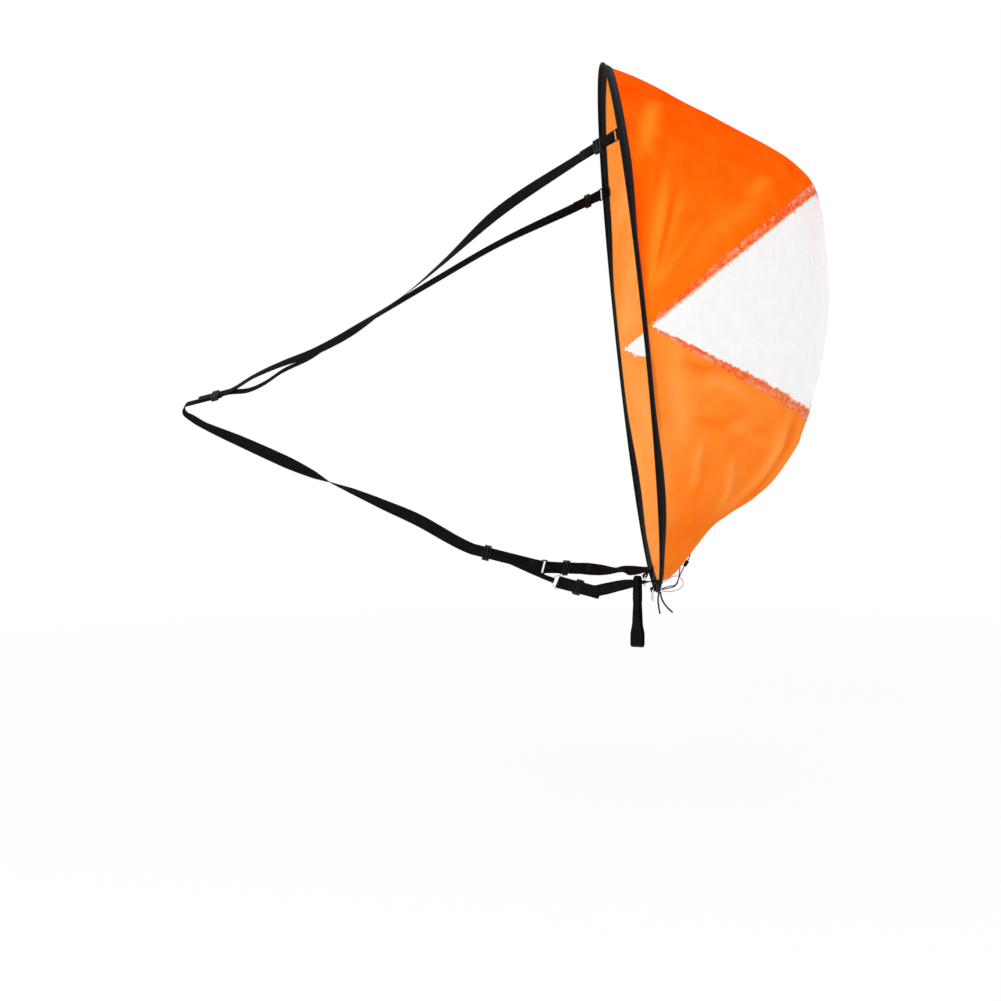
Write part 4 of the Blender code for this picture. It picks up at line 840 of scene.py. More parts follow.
def surface(name, places, uvs, wraps=(False, False), caps=False):
    """Mesh from a grid of places; uvs has one more row or column where the grid wraps."""
    n, m = places.shape[:2]
    rows, cols = n - (not wraps[0]), m - (not wraps[1])
    i, k = np.meshgrid(np.arange(rows), np.arange(cols), indexing="ij")
    corners = ((i, k), (i + 1, k), (i + 1, k + 1), (i, k + 1))
    faces = np.stack([(a % n) * m + b % m for a, b in corners], axis=-1).reshape(-1, 4)
    faces = [tuple(f) for f in faces.tolist()]
    flat = np.stack([uvs[a, b] for a, b in corners], axis=-2).reshape(-1, 2)
    if caps:
        ends = [tuple(reversed(range(m))), tuple(range((n - 1) * m, n * m))]
        faces += ends
        flat = np.concatenate((flat, uvs[0, :m][::-1], uvs[n - 1, :m]))
    return make_mesh(name, places.reshape(-1, 3), faces, flat)


def make_mesh(name, verts, faces, flat):
    mesh = bpy.data.meshes.new(name)
    mesh.from_pydata(verts.tolist(), [], faces)
    layer = mesh.uv_layers.new(name="sewn_metres")
    layer.data.foreach_set("uv", flat.ravel())
    return mesh


def sheet_mesh(name, places, normals, uvs, thickness):
    """Closed sheet: outer grid, inner grid and the strips round their edge."""
    n, m = places.shape[:2]
    half = normals * thickness / 2
    verts = np.concatenate(((places + half).reshape(-1, 3), (places - half).reshape(-1, 3)))
    i, k = np.meshgrid(np.arange(n - 1), np.arange(m - 1), indexing="ij")
    corners = ((i, k), (i + 1, k), (i + 1, k + 1), (i, k + 1))
    outer = np.stack([a * m + b for a, b in corners], axis=-1).reshape(-1, 4)
    inner = outer[:, ::-1] + n * m
    loop = [(a, 0) for a in range(n)] + [(n - 1, b) for b in range(1, m)]
    loop += [(a, m - 1) for a in range(n - 2, -1, -1)] + [(0, b) for b in range(m - 2, 0, -1)]
    ring = np.array([a * m + b for a, b in loop])
    after = np.roll(ring, -1)
    strip = np.stack((after, ring, ring + n * m, after + n * m), axis=-1)
    faces = np.concatenate((outer, inner, strip))
    spread = uvs.reshape(-1, 2)
    flat = np.concatenate((spread[outer].reshape(-1, 2), spread[outer[:, ::-1]].reshape(-1, 2),
                           spread[strip % (n * m)].reshape(-1, 2)))
    mesh = make_mesh(name, verts, [tuple(f) for f in faces.tolist()], flat)
    lining = np.zeros(len(faces), dtype=np.int32)
    lining[len(outer):] = 1
    return mesh, lining


def place_piece(name, mesh, finishes, body, nodes=(), corner=50, numbers=None):
    """Smooth the mesh, give it its finishes and fix it to its body."""
    piece = bpy.data.objects.new(name, mesh)
    bpy.context.scene.collection.objects.link(piece)
    for key in finishes:
        mesh.materials.append(finish(key))
    if numbers is not None:
        mesh.polygons.foreach_set("material_index", numbers)
    mesh.validate()
    mesh.shade_smooth()
    mesh.set_sharp_from_angle(angle=math.radians(corner))
    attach(piece, body)
    if nodes:
        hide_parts(*nodes)
    return piece


def face_out(mesh):
    """Turn every face of a closed mesh outward."""
    graph = bmesh.new()
    graph.from_mesh(mesh)
    bmesh.ops.recalc_face_normals(graph, faces=graph.faces)
    graph.to_mesh(mesh)
    graph.free()


def lengths_along(places):
    steps = np.linalg.norm(np.diff(places, axis=0), axis=1)
    return np.concatenate(([0], np.cumsum(steps)))


def unit(vectors):
    return vectors / np.linalg.norm(vectors, axis=-1, keepdims=True)


def dense_stations(stations, pitch, closed=False):
    """Stations split so that none are further apart than the pitch."""
    pairs = list(zip(stations, stations[1:]))
    if closed:
        pairs.append((stations[-1], stations[0]))
    found = []
    for (here, wide), (there, wider) in pairs:
        count = max(1, math.ceil((there - here).length / pitch))
        for i in range(count):
            t = i / count
            found.append((here.lerp(there, t), wide.lerp(wider, t).normalized()))
    if not closed:
        found.append(stations[-1])
    return found


def directions(places, closed):
    """Mitred unit directions along a line of places."""
    if closed:
        before = unit(places - np.roll(places, 1, axis=0))
        after = unit(np.roll(places, -1, axis=0) - places)
    else:
        steps = unit(np.diff(places, axis=0))
        before = np.concatenate((steps[:1], steps))
        after = np.concatenate((steps, steps[-1:]))
    along = unit(before + after)
    return along, np.sum(along * after, axis=1)


def ribbon_frames(stations, closed=False):
    """Places along webbing, with the ways across it and off its face."""
    places = np.array([s[0] for s in stations])
    widths = np.array([s[1] for s in stations])
    along, lean = directions(places, closed)
    across = unit(widths - along * np.sum(widths * along, axis=1, keepdims=True))
    normal = np.cross(along, across) / np.maximum(lean, MITRE_LIMIT)[:, None]
    return places, across, normal


def tape_profile(width, thickness):
    """Flat tape with rounded selvedges, as (across, off) pairs."""
    r = thickness / 2
    turns = [math.radians(a) for a in (-90, -45, 0, 45, 90)]
    right = [(width / 2 - r + r * math.cos(t), r * math.sin(t)) for t in turns]
    middle = [(width / 6, r), (-width / 6, r)]
    left = [(-a, -b) for a, b in right]
    return right + middle + left + [(-a, -b) for a, b in middle]


def sweep(name, rings, line, around, finish_name, body, nodes, closed):
    """Skin through one ring of places for each place of a line; around is its girth."""
    u = lengths_along(np.concatenate((line, line[:1])) if closed else line)
    uvs = np.stack(np.broadcast_arrays(u[:, None], around[None, :]), axis=-1)
    mesh = surface(name, rings, uvs, (closed, True), not closed)
    face_out(mesh)
    return place_piece(name, mesh, [finish_name], body, nodes)


def girth(profile):
    """Lengths round a closed profile, up to each of its points and back."""
    return np.cumsum([0] + [math.dist(a, b) for a, b in zip(profile, profile[1:] + profile[:1])])


def ribbon(name, stations, width, body, nodes, closed=False, bunching=None):
    """Length of webbing that follows the stations, drawn narrower where it bunches."""
    stations = dense_stations(stations, RIBBON_PITCH, closed)
    places, across, normal = ribbon_frames(stations, closed)
    if bunching:
        across = across * np.array([bunching(z) for z in places[:, 2]])[:, None]
    profile = tape_profile(width, WEB)
    rings = np.stack([places + across * a + normal * b for a, b in profile], axis=1)
    return sweep(name, rings, places, girth(profile), "webbing", body, nodes, closed)


TUBE_GUIDE = (0.3, 0.2, 1.0)


def tube(name, route, radius, finish_name, nodes, closed=False, sides=12):
    """Round cord along a route of places."""
    places = np.array(route, dtype=float)
    along, _ = directions(places, closed)
    side = np.cross(along[0], TUBE_GUIDE)
    first = []
    for direction in along:
        side = unit(side - direction * np.dot(side, direction))
        first.append(side)
    first = np.array(first)
    second = np.cross(along, first)
    turns = [2 * math.pi * k / sides for k in range(sides)]
    rings = [places + (first * math.cos(t) + second * math.sin(t)) * radius for t in turns]
    around = np.linspace(0, 2 * math.pi * radius, sides + 1)
    return sweep(name, np.stack(rings, axis=1), places, around, finish_name, SAIL, nodes, closed)


# Stations of the webbing


def rein_stations(angle, route, layer):
    """A rein from its doubled end at the rim to the stitched hand joint."""
    bar, pull, across, normal = rein_frame(angle)
    start = bar + pull * RING_LENGTH
    loop = to_space(eye_path(REIN_STRAIGHT, REIN_TAIL, REIN_CONVERGE), start, pull, normal, across)
    run = [(p, -w) for p, w in loop] if across.y < 0 else loop
    run.reverse()
    joint = [hand_station(-HAND_LEAD, layer), hand_station(HAND_ENDS, layer)]
    free = [run[-1]] + route_stations(route) + joint[:1]
    return run[:-1] + glide(free, run[-2], joint[1]) + joint[1:]


def rein_tab_stations(angle):
    wire, inward, upwind, across = rim_frame(angle)
    bar = plane_of(angle, rein_frame(angle)[0])
    offset = tab_offset()
    leave = Vector((REIN_FOOT_INNER, offset))
    back = leave + Vector((-LAYER_PITCH, LAYER_PITCH))
    path = [Vector((REIN_FOOT_OUTER, offset))] + wrap(leave, back, bar, BAR_WRAP, 1, EYE_STEPS)
    return to_space(path, wire, inward, upwind, across)


def lower_strap_stations():
    """Hand loop, twisted run and doubled end at the bridle ring."""
    flow, hand_across, hand_normal = hand_plane()
    start = [hand_station(-HAND_LEAD / 2, -1), hand_station(HAND_ENDS, -1)]
    first = LOWER_ROUTE[0]
    origin = hand_station(HAND_TURN_START, -1)[0]
    centre = Vector((0, -HAND_TURN_RADIUS))
    exit_place = Vector(first[:3]) - origin
    leave = Vector((exit_place.dot(flow), exit_place.dot(hand_normal)))
    turn_path = wrap(
        (-HAND_TURN_RADIUS, 0), leave, centre, HAND_TURN_RADIUS, -1, 2 * EYE_STEPS)
    turn = to_space(turn_path[1:-1], origin, flow, hand_normal, hand_across)
    pull, _, across = junction_frame()
    eye = eye_path(LOWER_SLIDER_PLACE + SLIDER_LENGTH * 2, LOWER_TAIL, REIN_CONVERGE)
    loop = to_space(eye, JUNCTION, -pull, upright(pull.cross(across)), -upright(across))
    free = [turn[-1]] + route_stations(LOWER_ROUTE) + [loop[0]]
    return start + turn[:-1] + glide(free, turn[-2], loop[1]) + loop[1:]


def link_strap_stations():
    """Narrow tape from under the lower slider to the near leg's link."""
    place, pull, across = slider_line()
    level = -upright(pull.cross(across)) * LOOP_PITCH
    start = place - pull * SLIDER_LENGTH + level
    after = place + pull * SLIDER_LENGTH + level
    reach, _, bar_across = near_frame()
    eye = eye_path(REIN_CONVERGE * 2, REIN_CONVERGE * 1.6, REIN_CONVERGE)
    loop = to_space(eye, NEAR_LINK, -reach, upright(reach.cross(bar_across)), bar_across)
    across = across if across.dot(bar_across) > 0 else -across
    top = (start, across)
    free = [(after, across), loop[0]]
    return [top] + glide(free, top, loop[1]) + loop[1:]


def leg_bar(place, frame_found, length):
    pull, leg, across = frame_found
    middle = (pull + leg).normalized()
    return place + frame_of(middle, across)[0] * length, leg, across


def leg_stations(prefix, side, route, tail):
    """Adjustable leg from its ring, through its slider, to the foot of the rim."""
    if prefix == "far":
        bar, pull, across = leg_bar(JUNCTION, junction_frame(), RING_LENGTH)
    else:
        bar, pull, across = leg_bar(NEAR_LINK, near_frame(), LINK_LENGTH)
    pull, across, normal = frame_of(pull, across)
    eye = eye_path(LEG_STRAIGHT, tail, REIN_CONVERGE)
    loop = to_space(eye, bar, pull, upright(normal), across)
    if across.y < 0 and prefix == "near":
        loop = [(p, -w) for p, w in loop]
    loop.reverse()
    foot = leg_foot(foot_angle(side))
    if foot[0][1].y < 0:
        foot = [(p, -w) for p, w in foot]
    free = [loop[-1]] + route_stations(route) + foot
    return loop[:-1] + glide(free, loop[-2])


def base_tab_stations(side):
    """Tab sewn to the binding and folded round the deck ring's hinge bar."""
    angle = foot_angle(side)
    across = rim_frame(angle)[3]
    bar_half = math.hypot(DECK_RING_BAR, DECK_RING_PLATE) / 2
    radius = bar_half + GAP + WEB / 2
    offset = tab_offset()
    inner = LEG_FOOT_OUTER - 3 * LAYER_PITCH
    foot = [rim_point(angle, LEG_FOOT_OUTER, offset), rim_point(angle, inner, offset)]
    leave = Vector((foot[-1].x, foot[-1].z))
    heading = leave.normalized()
    below = Vector((heading.y, -heading.x))
    back = heading * (radius + 2 * LAYER_PITCH) + below * LAYER_PITCH / 2
    path = wrap(leave, back, (0, 0), radius, 1, EYE_STEPS)
    y = side * DECK_RING_OFFSET
    middle = [(Vector((p.x, y, p.y)), Y_AXIS) for p in path[1:]]
    across = across if across.y > 0 else -across
    return [(p, across) for p in foot] + middle


loop_turn = smooth_curve(LOOP_DROPS, LOOP_TURNS)
loop_spread = smooth_curve(LOOP_DROPS, LOOP_SPREADS)
loop_width = smooth_curve(LOOP_DROPS, LOOP_WIDTH_SHARES)


def hanging_loop_stations():
    """Closed loop of webbing over the near leg."""
    run = leg_stations("near", -1, NEAR_LEG_ROUTE, NEAR_LEG_TAIL)
    here, along = place_from_end(run, LOOP_FROM_FOOT)
    along.z = 0
    along.normalize()
    side = Z_AXIS.cross(along)
    arcs = []
    ends = (LOOP_TOP_RADIUS, 0, 0), (LOOP_FOOT_RADIUS, math.pi, LOOP_LENGTH)
    for (radius, start, low), steps in zip(ends, LOOP_STEPS):
        turns = [start + math.pi * i / steps for i in range(steps + 1)]
        arcs.append([Vector((math.cos(t) * radius, math.sin(t) * radius - low)) for t in turns])
    narrow = (LOOP_TOP_RADIUS + LOOP_FOOT_RADIUS) / 2
    path = arcs[0] + [Vector((-narrow, -LOOP_LENGTH / 2))]
    path += arcs[1] + [Vector((narrow, -LOOP_LENGTH / 2))]
    stations = []
    for p in split_path(path, LOOP_STEP):
        spin = Matrix.Rotation(math.radians(loop_turn(-p.y)), 3, "Z")
        aside = spin @ (side * p.x * float(loop_spread(-p.y)))
        stations.append((here + aside + Z_AXIS * p.y, spin @ along))
    return stations


def split_path(path, pitch):
    """Closed plane path with extra points on its long runs."""
    found = []
    for here, there in zip(path, path[1:] + path[:1]):
        count = max(1, math.ceil((there - here).length / pitch))
        found += [here.lerp(there, i / count) for i in range(count)]
    return found


# Node trees and finishes


class NodeWork:
    """A node tree in the making; an input's value may be another node's output."""

    def __init__(self, tree):
        self.tree = tree

    def put(self, socket, value):
        if isinstance(value, bpy.types.NodeSocket):
            self.tree.links.new(value, socket)
        else:
            socket.default_value = (*value, 1) if socket.type == "RGBA" else value

    def add(self, kind, **values):
        """New node with its settings and inputs, each by its name."""
        made = self.tree.nodes.new(kind)
        for key, value in values.items():
            if key in made.inputs:
                self.put(made.inputs[key], value)
            else:
                setattr(made, key, value)
        return made

    def maths(self, operation, first, second):
        made = self.add("ShaderNodeMath", operation=operation)
        self.put(made.inputs[0], first)
        self.put(made.inputs[1], second)
        return made.outputs[0]

    def ramp(self, source, low, high, to_low=0, to_high=1):
        """Source read between low and high, given between to_low and to_high."""
        limits = {"From Min": low, "From Max": high, "To Min": to_low, "To Max": to_high}
        return self.add("ShaderNodeMapRange", Value=source, **limits).outputs["Result"]


class Finish(NodeWork):
    """A material in the making, round its shader and the piece's own places."""

    def __init__(self, name):
        self.material = bpy.data.materials.new("finish_" + name)
        self.material.use_nodes = True
        super().__init__(self.material.node_tree)
        self.shader = self.tree.nodes["Principled BSDF"]
        self.own = self.place("Object")

    def place(self, kind, scale=(1, 1, 1), turn=0):
        """Own coordinates: Object, or UV in sewn metres, turned by degrees."""
        source = self.add("ShaderNodeTexCoord").outputs[kind]
        return self.add("ShaderNodeMapping", Vector=source, Scale=scale,
                        Rotation=(0, 0, math.radians(turn))).outputs["Vector"]

    def mix(self, factor, first, second):
        made = self.add("ShaderNodeMix", data_type="RGBA")
        for i, value in ((0, factor), (6, first), (7, second)):
            self.put(made.inputs[i], value)
        return made.outputs[2]

    def noise(self, scale, detail=3, roughness=0.55, place=None):
        return self.add("ShaderNodeTexNoise", Vector=place or self.own, Scale=scale,
                        Detail=detail, Roughness=roughness).outputs["Fac"]

    def weave(self, pitch, turn=0):
        """Over and under yarns at a pitch in metres, as a height from 0 to 1."""
        place = self.place("UV", turn=turn)
        yarns = [self.add("ShaderNodeTexWave", Vector=place, Scale=YARN_RATE / pitch,
                          bands_direction=axis).outputs["Fac"] for axis in "XY"]
        return self.maths("MULTIPLY", *yarns)

    def bump(self, height, distance, strength=0.5, before=None):
        below = {"Normal": before} if before else {}
        normal = self.add("ShaderNodeBump", Height=height, Distance=distance,
                          Strength=strength, **below).outputs["Normal"]
        self.dress({"Normal": normal})
        return normal

    def dress(self, values):
        """Give the shader's inputs their values."""
        for label, value in values.items():
            self.put(self.shader.inputs[label], value)


def cloth_finish(work, low, high, span, bright, deep):
    """Thin coated nylon: close tones that shift with height and a random mottle, with painted
    highlight and painted shade along the folds from the drawn values.
    """
    split = work.add("ShaderNodeSeparateXYZ", Vector=work.own)
    mottle = work.noise(26, 4)
    # The drawn attribute carries painted fold light, not a real pull in the cloth
    drawn = work.add("ShaderNodeAttribute", attribute_name="drawn").outputs["Fac"]
    # Tone shifts with height, from the low tone to the high one
    tone = work.mix(work.ramp(split.outputs["Z"], *span), low, high)
    tone = work.mix(work.ramp(mottle, 0.35, 0.7, 0, 0.16), tone, bright)
    # Painted highlight where drawn is above a half and painted shade where it is below: the bright
    # and deep tones stand in for light on the folds
    tone = work.mix(work.ramp(drawn, 0.5, 1, 0, 0.85), tone, bright)
    tone = work.mix(work.ramp(drawn, 0.5, 0, 0, 0.85), tone, deep)
    first = work.bump(work.noise(95, 4, 0.6), 0.0009)
    work.bump(work.weave(0.0009), 0.00006, 0.6, first)
    work.dress({"Base Color": tone, "Roughness": work.ramp(mottle, 0.3, 0.7, 0.5, 0.66),
                "Specular IOR Level": 0})


def film_finish(work):
    """Clear window film: glossy, faintly milky, with a painted white highlight along its creases
    and a painted pink reflection of the cloth.
    """
    crease = work.noise(52, 6, 0.68)
    # Painted reflection: a pink tint round one place stands in for the orange cloth mirrored in
    # the film
    gone = work.add("ShaderNodeVectorMath", operation="DISTANCE", Vector=work.own)
    gone.inputs[1].default_value = PINK_REFLECTION_PLACE
    pink_reflection = work.ramp(gone.outputs["Value"], 0.02, 0.15, 0.9, 0)
    # Painted highlight: the film's tone is whiter along the crease noise
    tone = work.mix(work.ramp(crease, 0.44, 0.58), (0.83, 0.87, 0.90), (0.97, 1, 1))
    work.bump(work.noise(120, 3, 0.5), 0.0012)
    work.dress({"Base Color": work.mix(pink_reflection, tone, (1, 0.55, 0.66)),
                "Roughness": work.ramp(crease, 0.3, 0.7, 0.10, 0.24),
                "Alpha": 0.17, "IOR": 1.46, "Coat Weight": 0.3})


def lap_finish(work):
    """The same film where it lies on cloth: orange to show the cloth through it, lighter along its
    creases as a painted sheen.
    """
    crease = work.ramp(work.noise(90, 4, 0.6), 0.42, 0.60)
    work.bump(work.noise(210, 3, 0.5), 0.0008, 0.4)
    # Painted sheen: the crease noise lightens the lap's orange
    work.dress({"Base Color": work.mix(crease, (1, 0.130, 0.006), (1, 0.44, 0.20)),
                "Alpha": 0.3, "Roughness": 0.2, "Specular IOR Level": 0.15})


def webbing_finish(work, dark, light, pitch, distance, rough):
    """Flat woven polyester with a visible yarn grid."""
    mottle = work.noise(60, 4)
    yarn = work.weave(pitch, 45)
    faded = work.ramp(mottle, 0.4, 0.75, 0, 0.5)
    tone = work.mix(faded, work.mix(yarn, dark, light), [1.6 * c for c in light])
    work.bump(yarn, distance, 0.8)
    work.dress({"Base Color": tone, "Specular IOR Level": 0.04,
                "Roughness": work.ramp(mottle, 0.3, 0.7, rough - 0.08, rough + 0.08)})


def thread_finish(work, dark, light):
    """Sewing thread with a slanting twist."""
    twist = work.add("ShaderNodeTexWave", Vector=work.own, Scale=420,
                     bands_direction="DIAGONAL").outputs["Fac"]
    work.bump(twist, 0.0001)
    work.dress({"Base Color": work.mix(twist, dark, light), "Roughness": 0.6})


def cord_finish(work, dark, light):
    """Braided sheath: crossing strands wound round the cord."""
    braid = work.weave(0.0011, 35)
    soiled = work.ramp(work.noise(300), 0.4, 0.7, 0, 0.5)
    work.bump(braid, 0.00015, 0.8)
    work.dress({"Base Color": work.mix(soiled, work.mix(braid, dark, light), dark),
                "Roughness": 0.72})


def metal_finish(work, first, second, rough, scale):
    """Plated or sprung metal with rubbed patches and fine scratches."""
    patch = work.noise(scale, 4)
    scratches = work.noise(500, 2, place=work.place("Object", (1, 9, 1)))
    work.bump(scratches, 0.00005)
    work.dress({"Base Color": work.mix(work.ramp(patch, 0.35, 0.7), first, second),
                "Roughness": work.ramp(patch, 0.3, 0.7, rough - 0.08, rough + 0.12),
                "Metallic": 1})


def plastic_finish(work, first, second):
    """Moulded plastic with a fine spark-eroded grain and rubbed high spots."""
    patch = work.noise(140, 4)
    work.bump(work.noise(1400, 2), 0.00008)
    work.dress({"Base Color": work.mix(work.ramp(patch, 0.4, 0.7), first, second),
                "Roughness": work.ramp(patch, 0.3, 0.7, 0.38, 0.56),
                "Specular IOR Level": 0.2})


def floor_finish(work):
    """White ground: clean to the eye, still catching a little of the shadow."""
    work.dress({"Base Color": (0.9, 0.9, 0.9), "Roughness": 1, "Specular IOR Level": 0})
    glow = work.add("ShaderNodeEmission", Strength=1, Color=(1, 1, 1))
    away = work.add("ShaderNodeVectorMath", operation="LENGTH", Vector=work.own)
    level = work.ramp(away.outputs["Value"], FLOOR_NEAR, FLOOR_FAR, FLOOR_GLOW, 1)
    seen = work.add("ShaderNodeLightPath").outputs["Is Camera Ray"]
    mixed = work.add("ShaderNodeMixShader")
    parts = work.maths("MULTIPLY", seen, level), work.shader.outputs[0], glow.outputs[0]
    for socket, part in zip(mixed.inputs, parts):
        work.put(socket, part)
    work.put(work.tree.nodes["Material Output"].inputs["Surface"], mixed.outputs[0])


# Each finish: its maker, its two tones, and the maker's other values
FINISHES = {
    # Cloth: after the two tones, the height span, the bright tone of painted highlight (also the
    # mottle's lighter tone) and the deep tone of painted shade
    "orange_cloth": (cloth_finish, (1, 0.165, 0.004), (1, 0.070, 0), (0.52, 0.97),
                     (1, 0.26, 0.016), (0.96, 0.070, 0)),
    "orange_cloth_low": (cloth_finish, (1, 0.205, 0.012), (1, 0.250, 0.026), (0.1, 0.5),
                         (1, 0.37, 0.085), (1, 0.135, 0.002)),
    "orange_lining": (cloth_finish, (1, 0.36, 0.07), (1, 0.33, 0.05), (0.2, 0.9),
                      (1, 0.45, 0.12), (1, 0.27, 0.03)),
    "clear_film": (film_finish,),
    "clear_film_lap": (lap_finish,),
    "webbing": (webbing_finish, (0.0025, 0.0025, 0.003), (0.008, 0.008, 0.009),
                0.0022, 0.0003, 0.78),
    "binding_tape": (webbing_finish, (0.003, 0.003, 0.0034), (0.009, 0.009, 0.0105),
                     0.0012, 0.00018, 0.74),
    "dark_thread": (thread_finish, (0.012, 0.012, 0.013), (0.05, 0.05, 0.055)),
    "orange_thread": (thread_finish, (0.85, 0.07, 0.005), (1, 0.13, 0.01)),
    # Pale thread used only for the painted glints on the window's laps
    "pale_thread": (thread_finish, (0.95, 0.90, 0.86), (1, 1, 0.98)),
    "dark_cord": (cord_finish, (0.008, 0.008, 0.009), (0.028, 0.027, 0.028)),
    "pale_cord": (cord_finish, (0.82, 0.60, 0.58), (1, 0.90, 0.88)),
    "zinc_ring": (metal_finish, (0.62, 0.63, 0.65), (0.80, 0.81, 0.82), 0.3, 160),
    "spring_steel": (metal_finish, (0.42, 0.43, 0.45), (0.58, 0.59, 0.6), 0.34, 120),
    "ferrule_steel": (metal_finish, (0.6, 0.6, 0.62), (0.72, 0.72, 0.74), 0.4, 90),
    "dark_wire": (metal_finish, (0.05, 0.05, 0.055), (0.12, 0.12, 0.13), 0.36, 160),
    "slider_plastic": (plastic_finish, (0.004, 0.004, 0.0045), (0.012, 0.012, 0.013)),
    "studio_floor": (floor_finish,),
}
HARDWARE = (
    ("zinc_ring", ("near_deck_ring", "far_deck_ring", "near_leg_link")),
    ("dark_wire", ("bridle_ring", "near_rein_ring", "far_rein_ring")),
    ("spring_steel", ("spring_hoop",)),
    ("ferrule_steel", ("hoop_ferrule",)),
    ("slider_plastic", ("near_rein_slider", "far_rein_slider", "hand_slider",
                        "lower_strap_slider", "near_leg_slider", "far_leg_slider",
                        "cord_stopper")),
    ("dark_cord", ("near_cord_eye", "far_cord_eye")),
)


def finish(name):
    """The material of that name, made when it is first asked for."""
    made = bpy.data.materials.get("finish_" + name)
    if made is None:
        build, *values = FINISHES[name]
        work = Finish(name)
        build(work, *values)
        made = work.material
    return made


# Stitching

STITCH_ROWS = {}


def sew(body, thread, line, closed=False):
    """Keep one line of stitches for a body and thread."""
    line = [tuple(p) for p in line]
    if closed:
        line.append(line[0])
    STITCH_ROWS.setdefault((body, thread), []).append(line)


def sew_box(body, stations, start, length, width, off, cross=True):
    """Boxed cross of stitches on both faces; a start below 0 counts from the end."""
    places, across, normal = ribbon_frames(dense_stations(stations, RIBBON_PITCH / 2))
    run = lengths_along(places)
    start = start if start > 0 else run[-1] + start
    steps = np.linspace(0, length, 9)
    half = width / 2
    for rise in (off, -off):
        def spot(distance, aside):
            at = [np.interp(distance, run, places[:, i]) for i in range(3)]
            i = min(int(np.searchsorted(run, distance)), len(run) - 1)
            return np.array(at) + across[i] * aside + normal[i] * rise

        one = [spot(start + s, half) for s in steps]
        other = [spot(start + s, -half) for s in steps[::-1]]
        sew(body, "dark_thread", one + other, True)
        for side in (1, -1) if cross else ():
            sew(body, "dark_thread",
                [spot(start + s, side * (half - width * s / length)) for s in steps])


def stitch_tree(thread_material):
    """Nodes that lay a short round stitch along every line of a mesh's edges."""
    work = NodeWork(bpy.data.node_groups.new("stitch_rows", "GeometryNodeTree"))
    face = work.tree.interface
    face.new_socket("Geometry", in_out="INPUT", socket_type="NodeSocketGeometry")
    for label, value in (("Pitch", 0.004), ("Stitch Length", 0.0027), ("Thread", 0.0007)):
        socket = face.new_socket(label, in_out="INPUT", socket_type="NodeSocketFloat")
        socket.default_value = value
        socket.subtype = "DISTANCE"
    face.new_socket("Geometry", in_out="OUTPUT", socket_type="NodeSocketGeometry")
    given = work.add("NodeGroupInput").outputs
    curve = work.add("GeometryNodeMeshToCurve", Mesh=given["Geometry"])
    points = work.add("GeometryNodeCurveToPoints", mode="LENGTH", Curve=curve.outputs["Curve"],
                      Length=given["Pitch"]).outputs
    stitch = work.add("GeometryNodeMeshCylinder", Vertices=6, Depth=given["Stitch Length"],
                      Radius=work.maths("DIVIDE", given["Thread"], 2))
    spread = work.add("GeometryNodeInstanceOnPoints", Points=points["Points"],
                      Rotation=points["Rotation"], Instance=stitch.outputs["Mesh"])
    real = work.add("GeometryNodeRealizeInstances", Geometry=spread.outputs["Instances"])
    coated = work.add("GeometryNodeSetMaterial", Geometry=real.outputs["Geometry"],
                      Material=thread_material)
    work.add("NodeGroupOutput", Geometry=coated.outputs["Geometry"])
    return work.tree


def make_stitches(settings):
    """One object of stitches for each body and thread."""
    sizes = {"Pitch": settings.stitch_pitch, "Stitch Length": settings.stitch_length,
             "Thread": settings.thread}
    for (body, thread), lines in sorted(STITCH_ROWS.items()):
        verts, edges = [], []
        for line in lines:
            edges += [(len(verts) + i, len(verts) + i + 1) for i in range(len(line) - 1)]
            verts += line
        guide_mesh = bpy.data.meshes.new("stitch_guide")
        guide_mesh.from_pydata([tuple(map(float, v)) for v in verts], edges, [])
        guide = bpy.data.objects.new("stitch_guide", guide_mesh)
        bpy.context.scene.collection.objects.link(guide)
        rows = guide.modifiers.new("rows", "NODES")
        rows.node_group = stitch_tree(finish(thread))
        for item in rows.node_group.interface.items_tree:
            if item.in_out == "INPUT" and item.name in sizes:
                rows[item.identifier] = sizes[item.name]
        graph = bpy.context.evaluated_depsgraph_get()
        made = bpy.data.meshes.new_from_object(guide.evaluated_get(graph))
        guide.modifiers.remove(rows)
        bpy.data.objects.remove(guide)
        made.materials.clear()
        place_piece(f"{body}_{thread}_rows", made, [thread], body)


# Pieces


def make_knot():
    """Small tight overhand knot in the tie cords."""
    wide = KNOT_RADIUS - CORD_RADIUS
    line = []
    for i in range(KNOT_STEPS):
        t = 2 * math.pi * i / KNOT_STEPS
        deep = wide * KNOT_DEEP * math.sin(3 * t)
        reach = wide * (KNOT_MEAN + KNOT_SWING * math.cos(3 * t))
        turned = Vector((deep, reach * math.cos(2 * t), reach * math.sin(2 * t)))
        line.append(knot_place() + turned)
    return tube("tied_knot", line, CORD_RADIUS, "dark_cord", ["base_cord_knot"], True)


def make_cords():
    """Every tie cord at the foot, each on one smooth curve."""
    nodes = frame["nodes"]
    cords = (
        ("near_tie", NEAR_CORD_ROUTE, CORD_RADIUS, "dark_cord", "object",
         [nodes["near_cord_eye"], nodes["cord_stopper"]]),
        ("far_tie", FAR_CORD_ROUTE, CORD_RADIUS, "dark_cord", "object",
         [nodes["far_cord_eye"], make_knot()]),
        ("pale_tie", PALE_CORD_ROUTE, PALE_CORD_RADIUS, "pale_cord", "object", []),
        ("long_tail", LONG_TAIL_ROUTE, TAIL_RADIUS, "dark_cord", "bare", []),
        ("short_tail", SHORT_TAIL_ROUTE, TAIL_RADIUS, "dark_cord", "bare", []),
    )
    for name, route, radius, sheath, far_end, with_pieces in cords:
        line = smooth(route, CORD_SPANS)
        piece = tube(name + "_line", line, radius, sheath, [name + "_cord"])


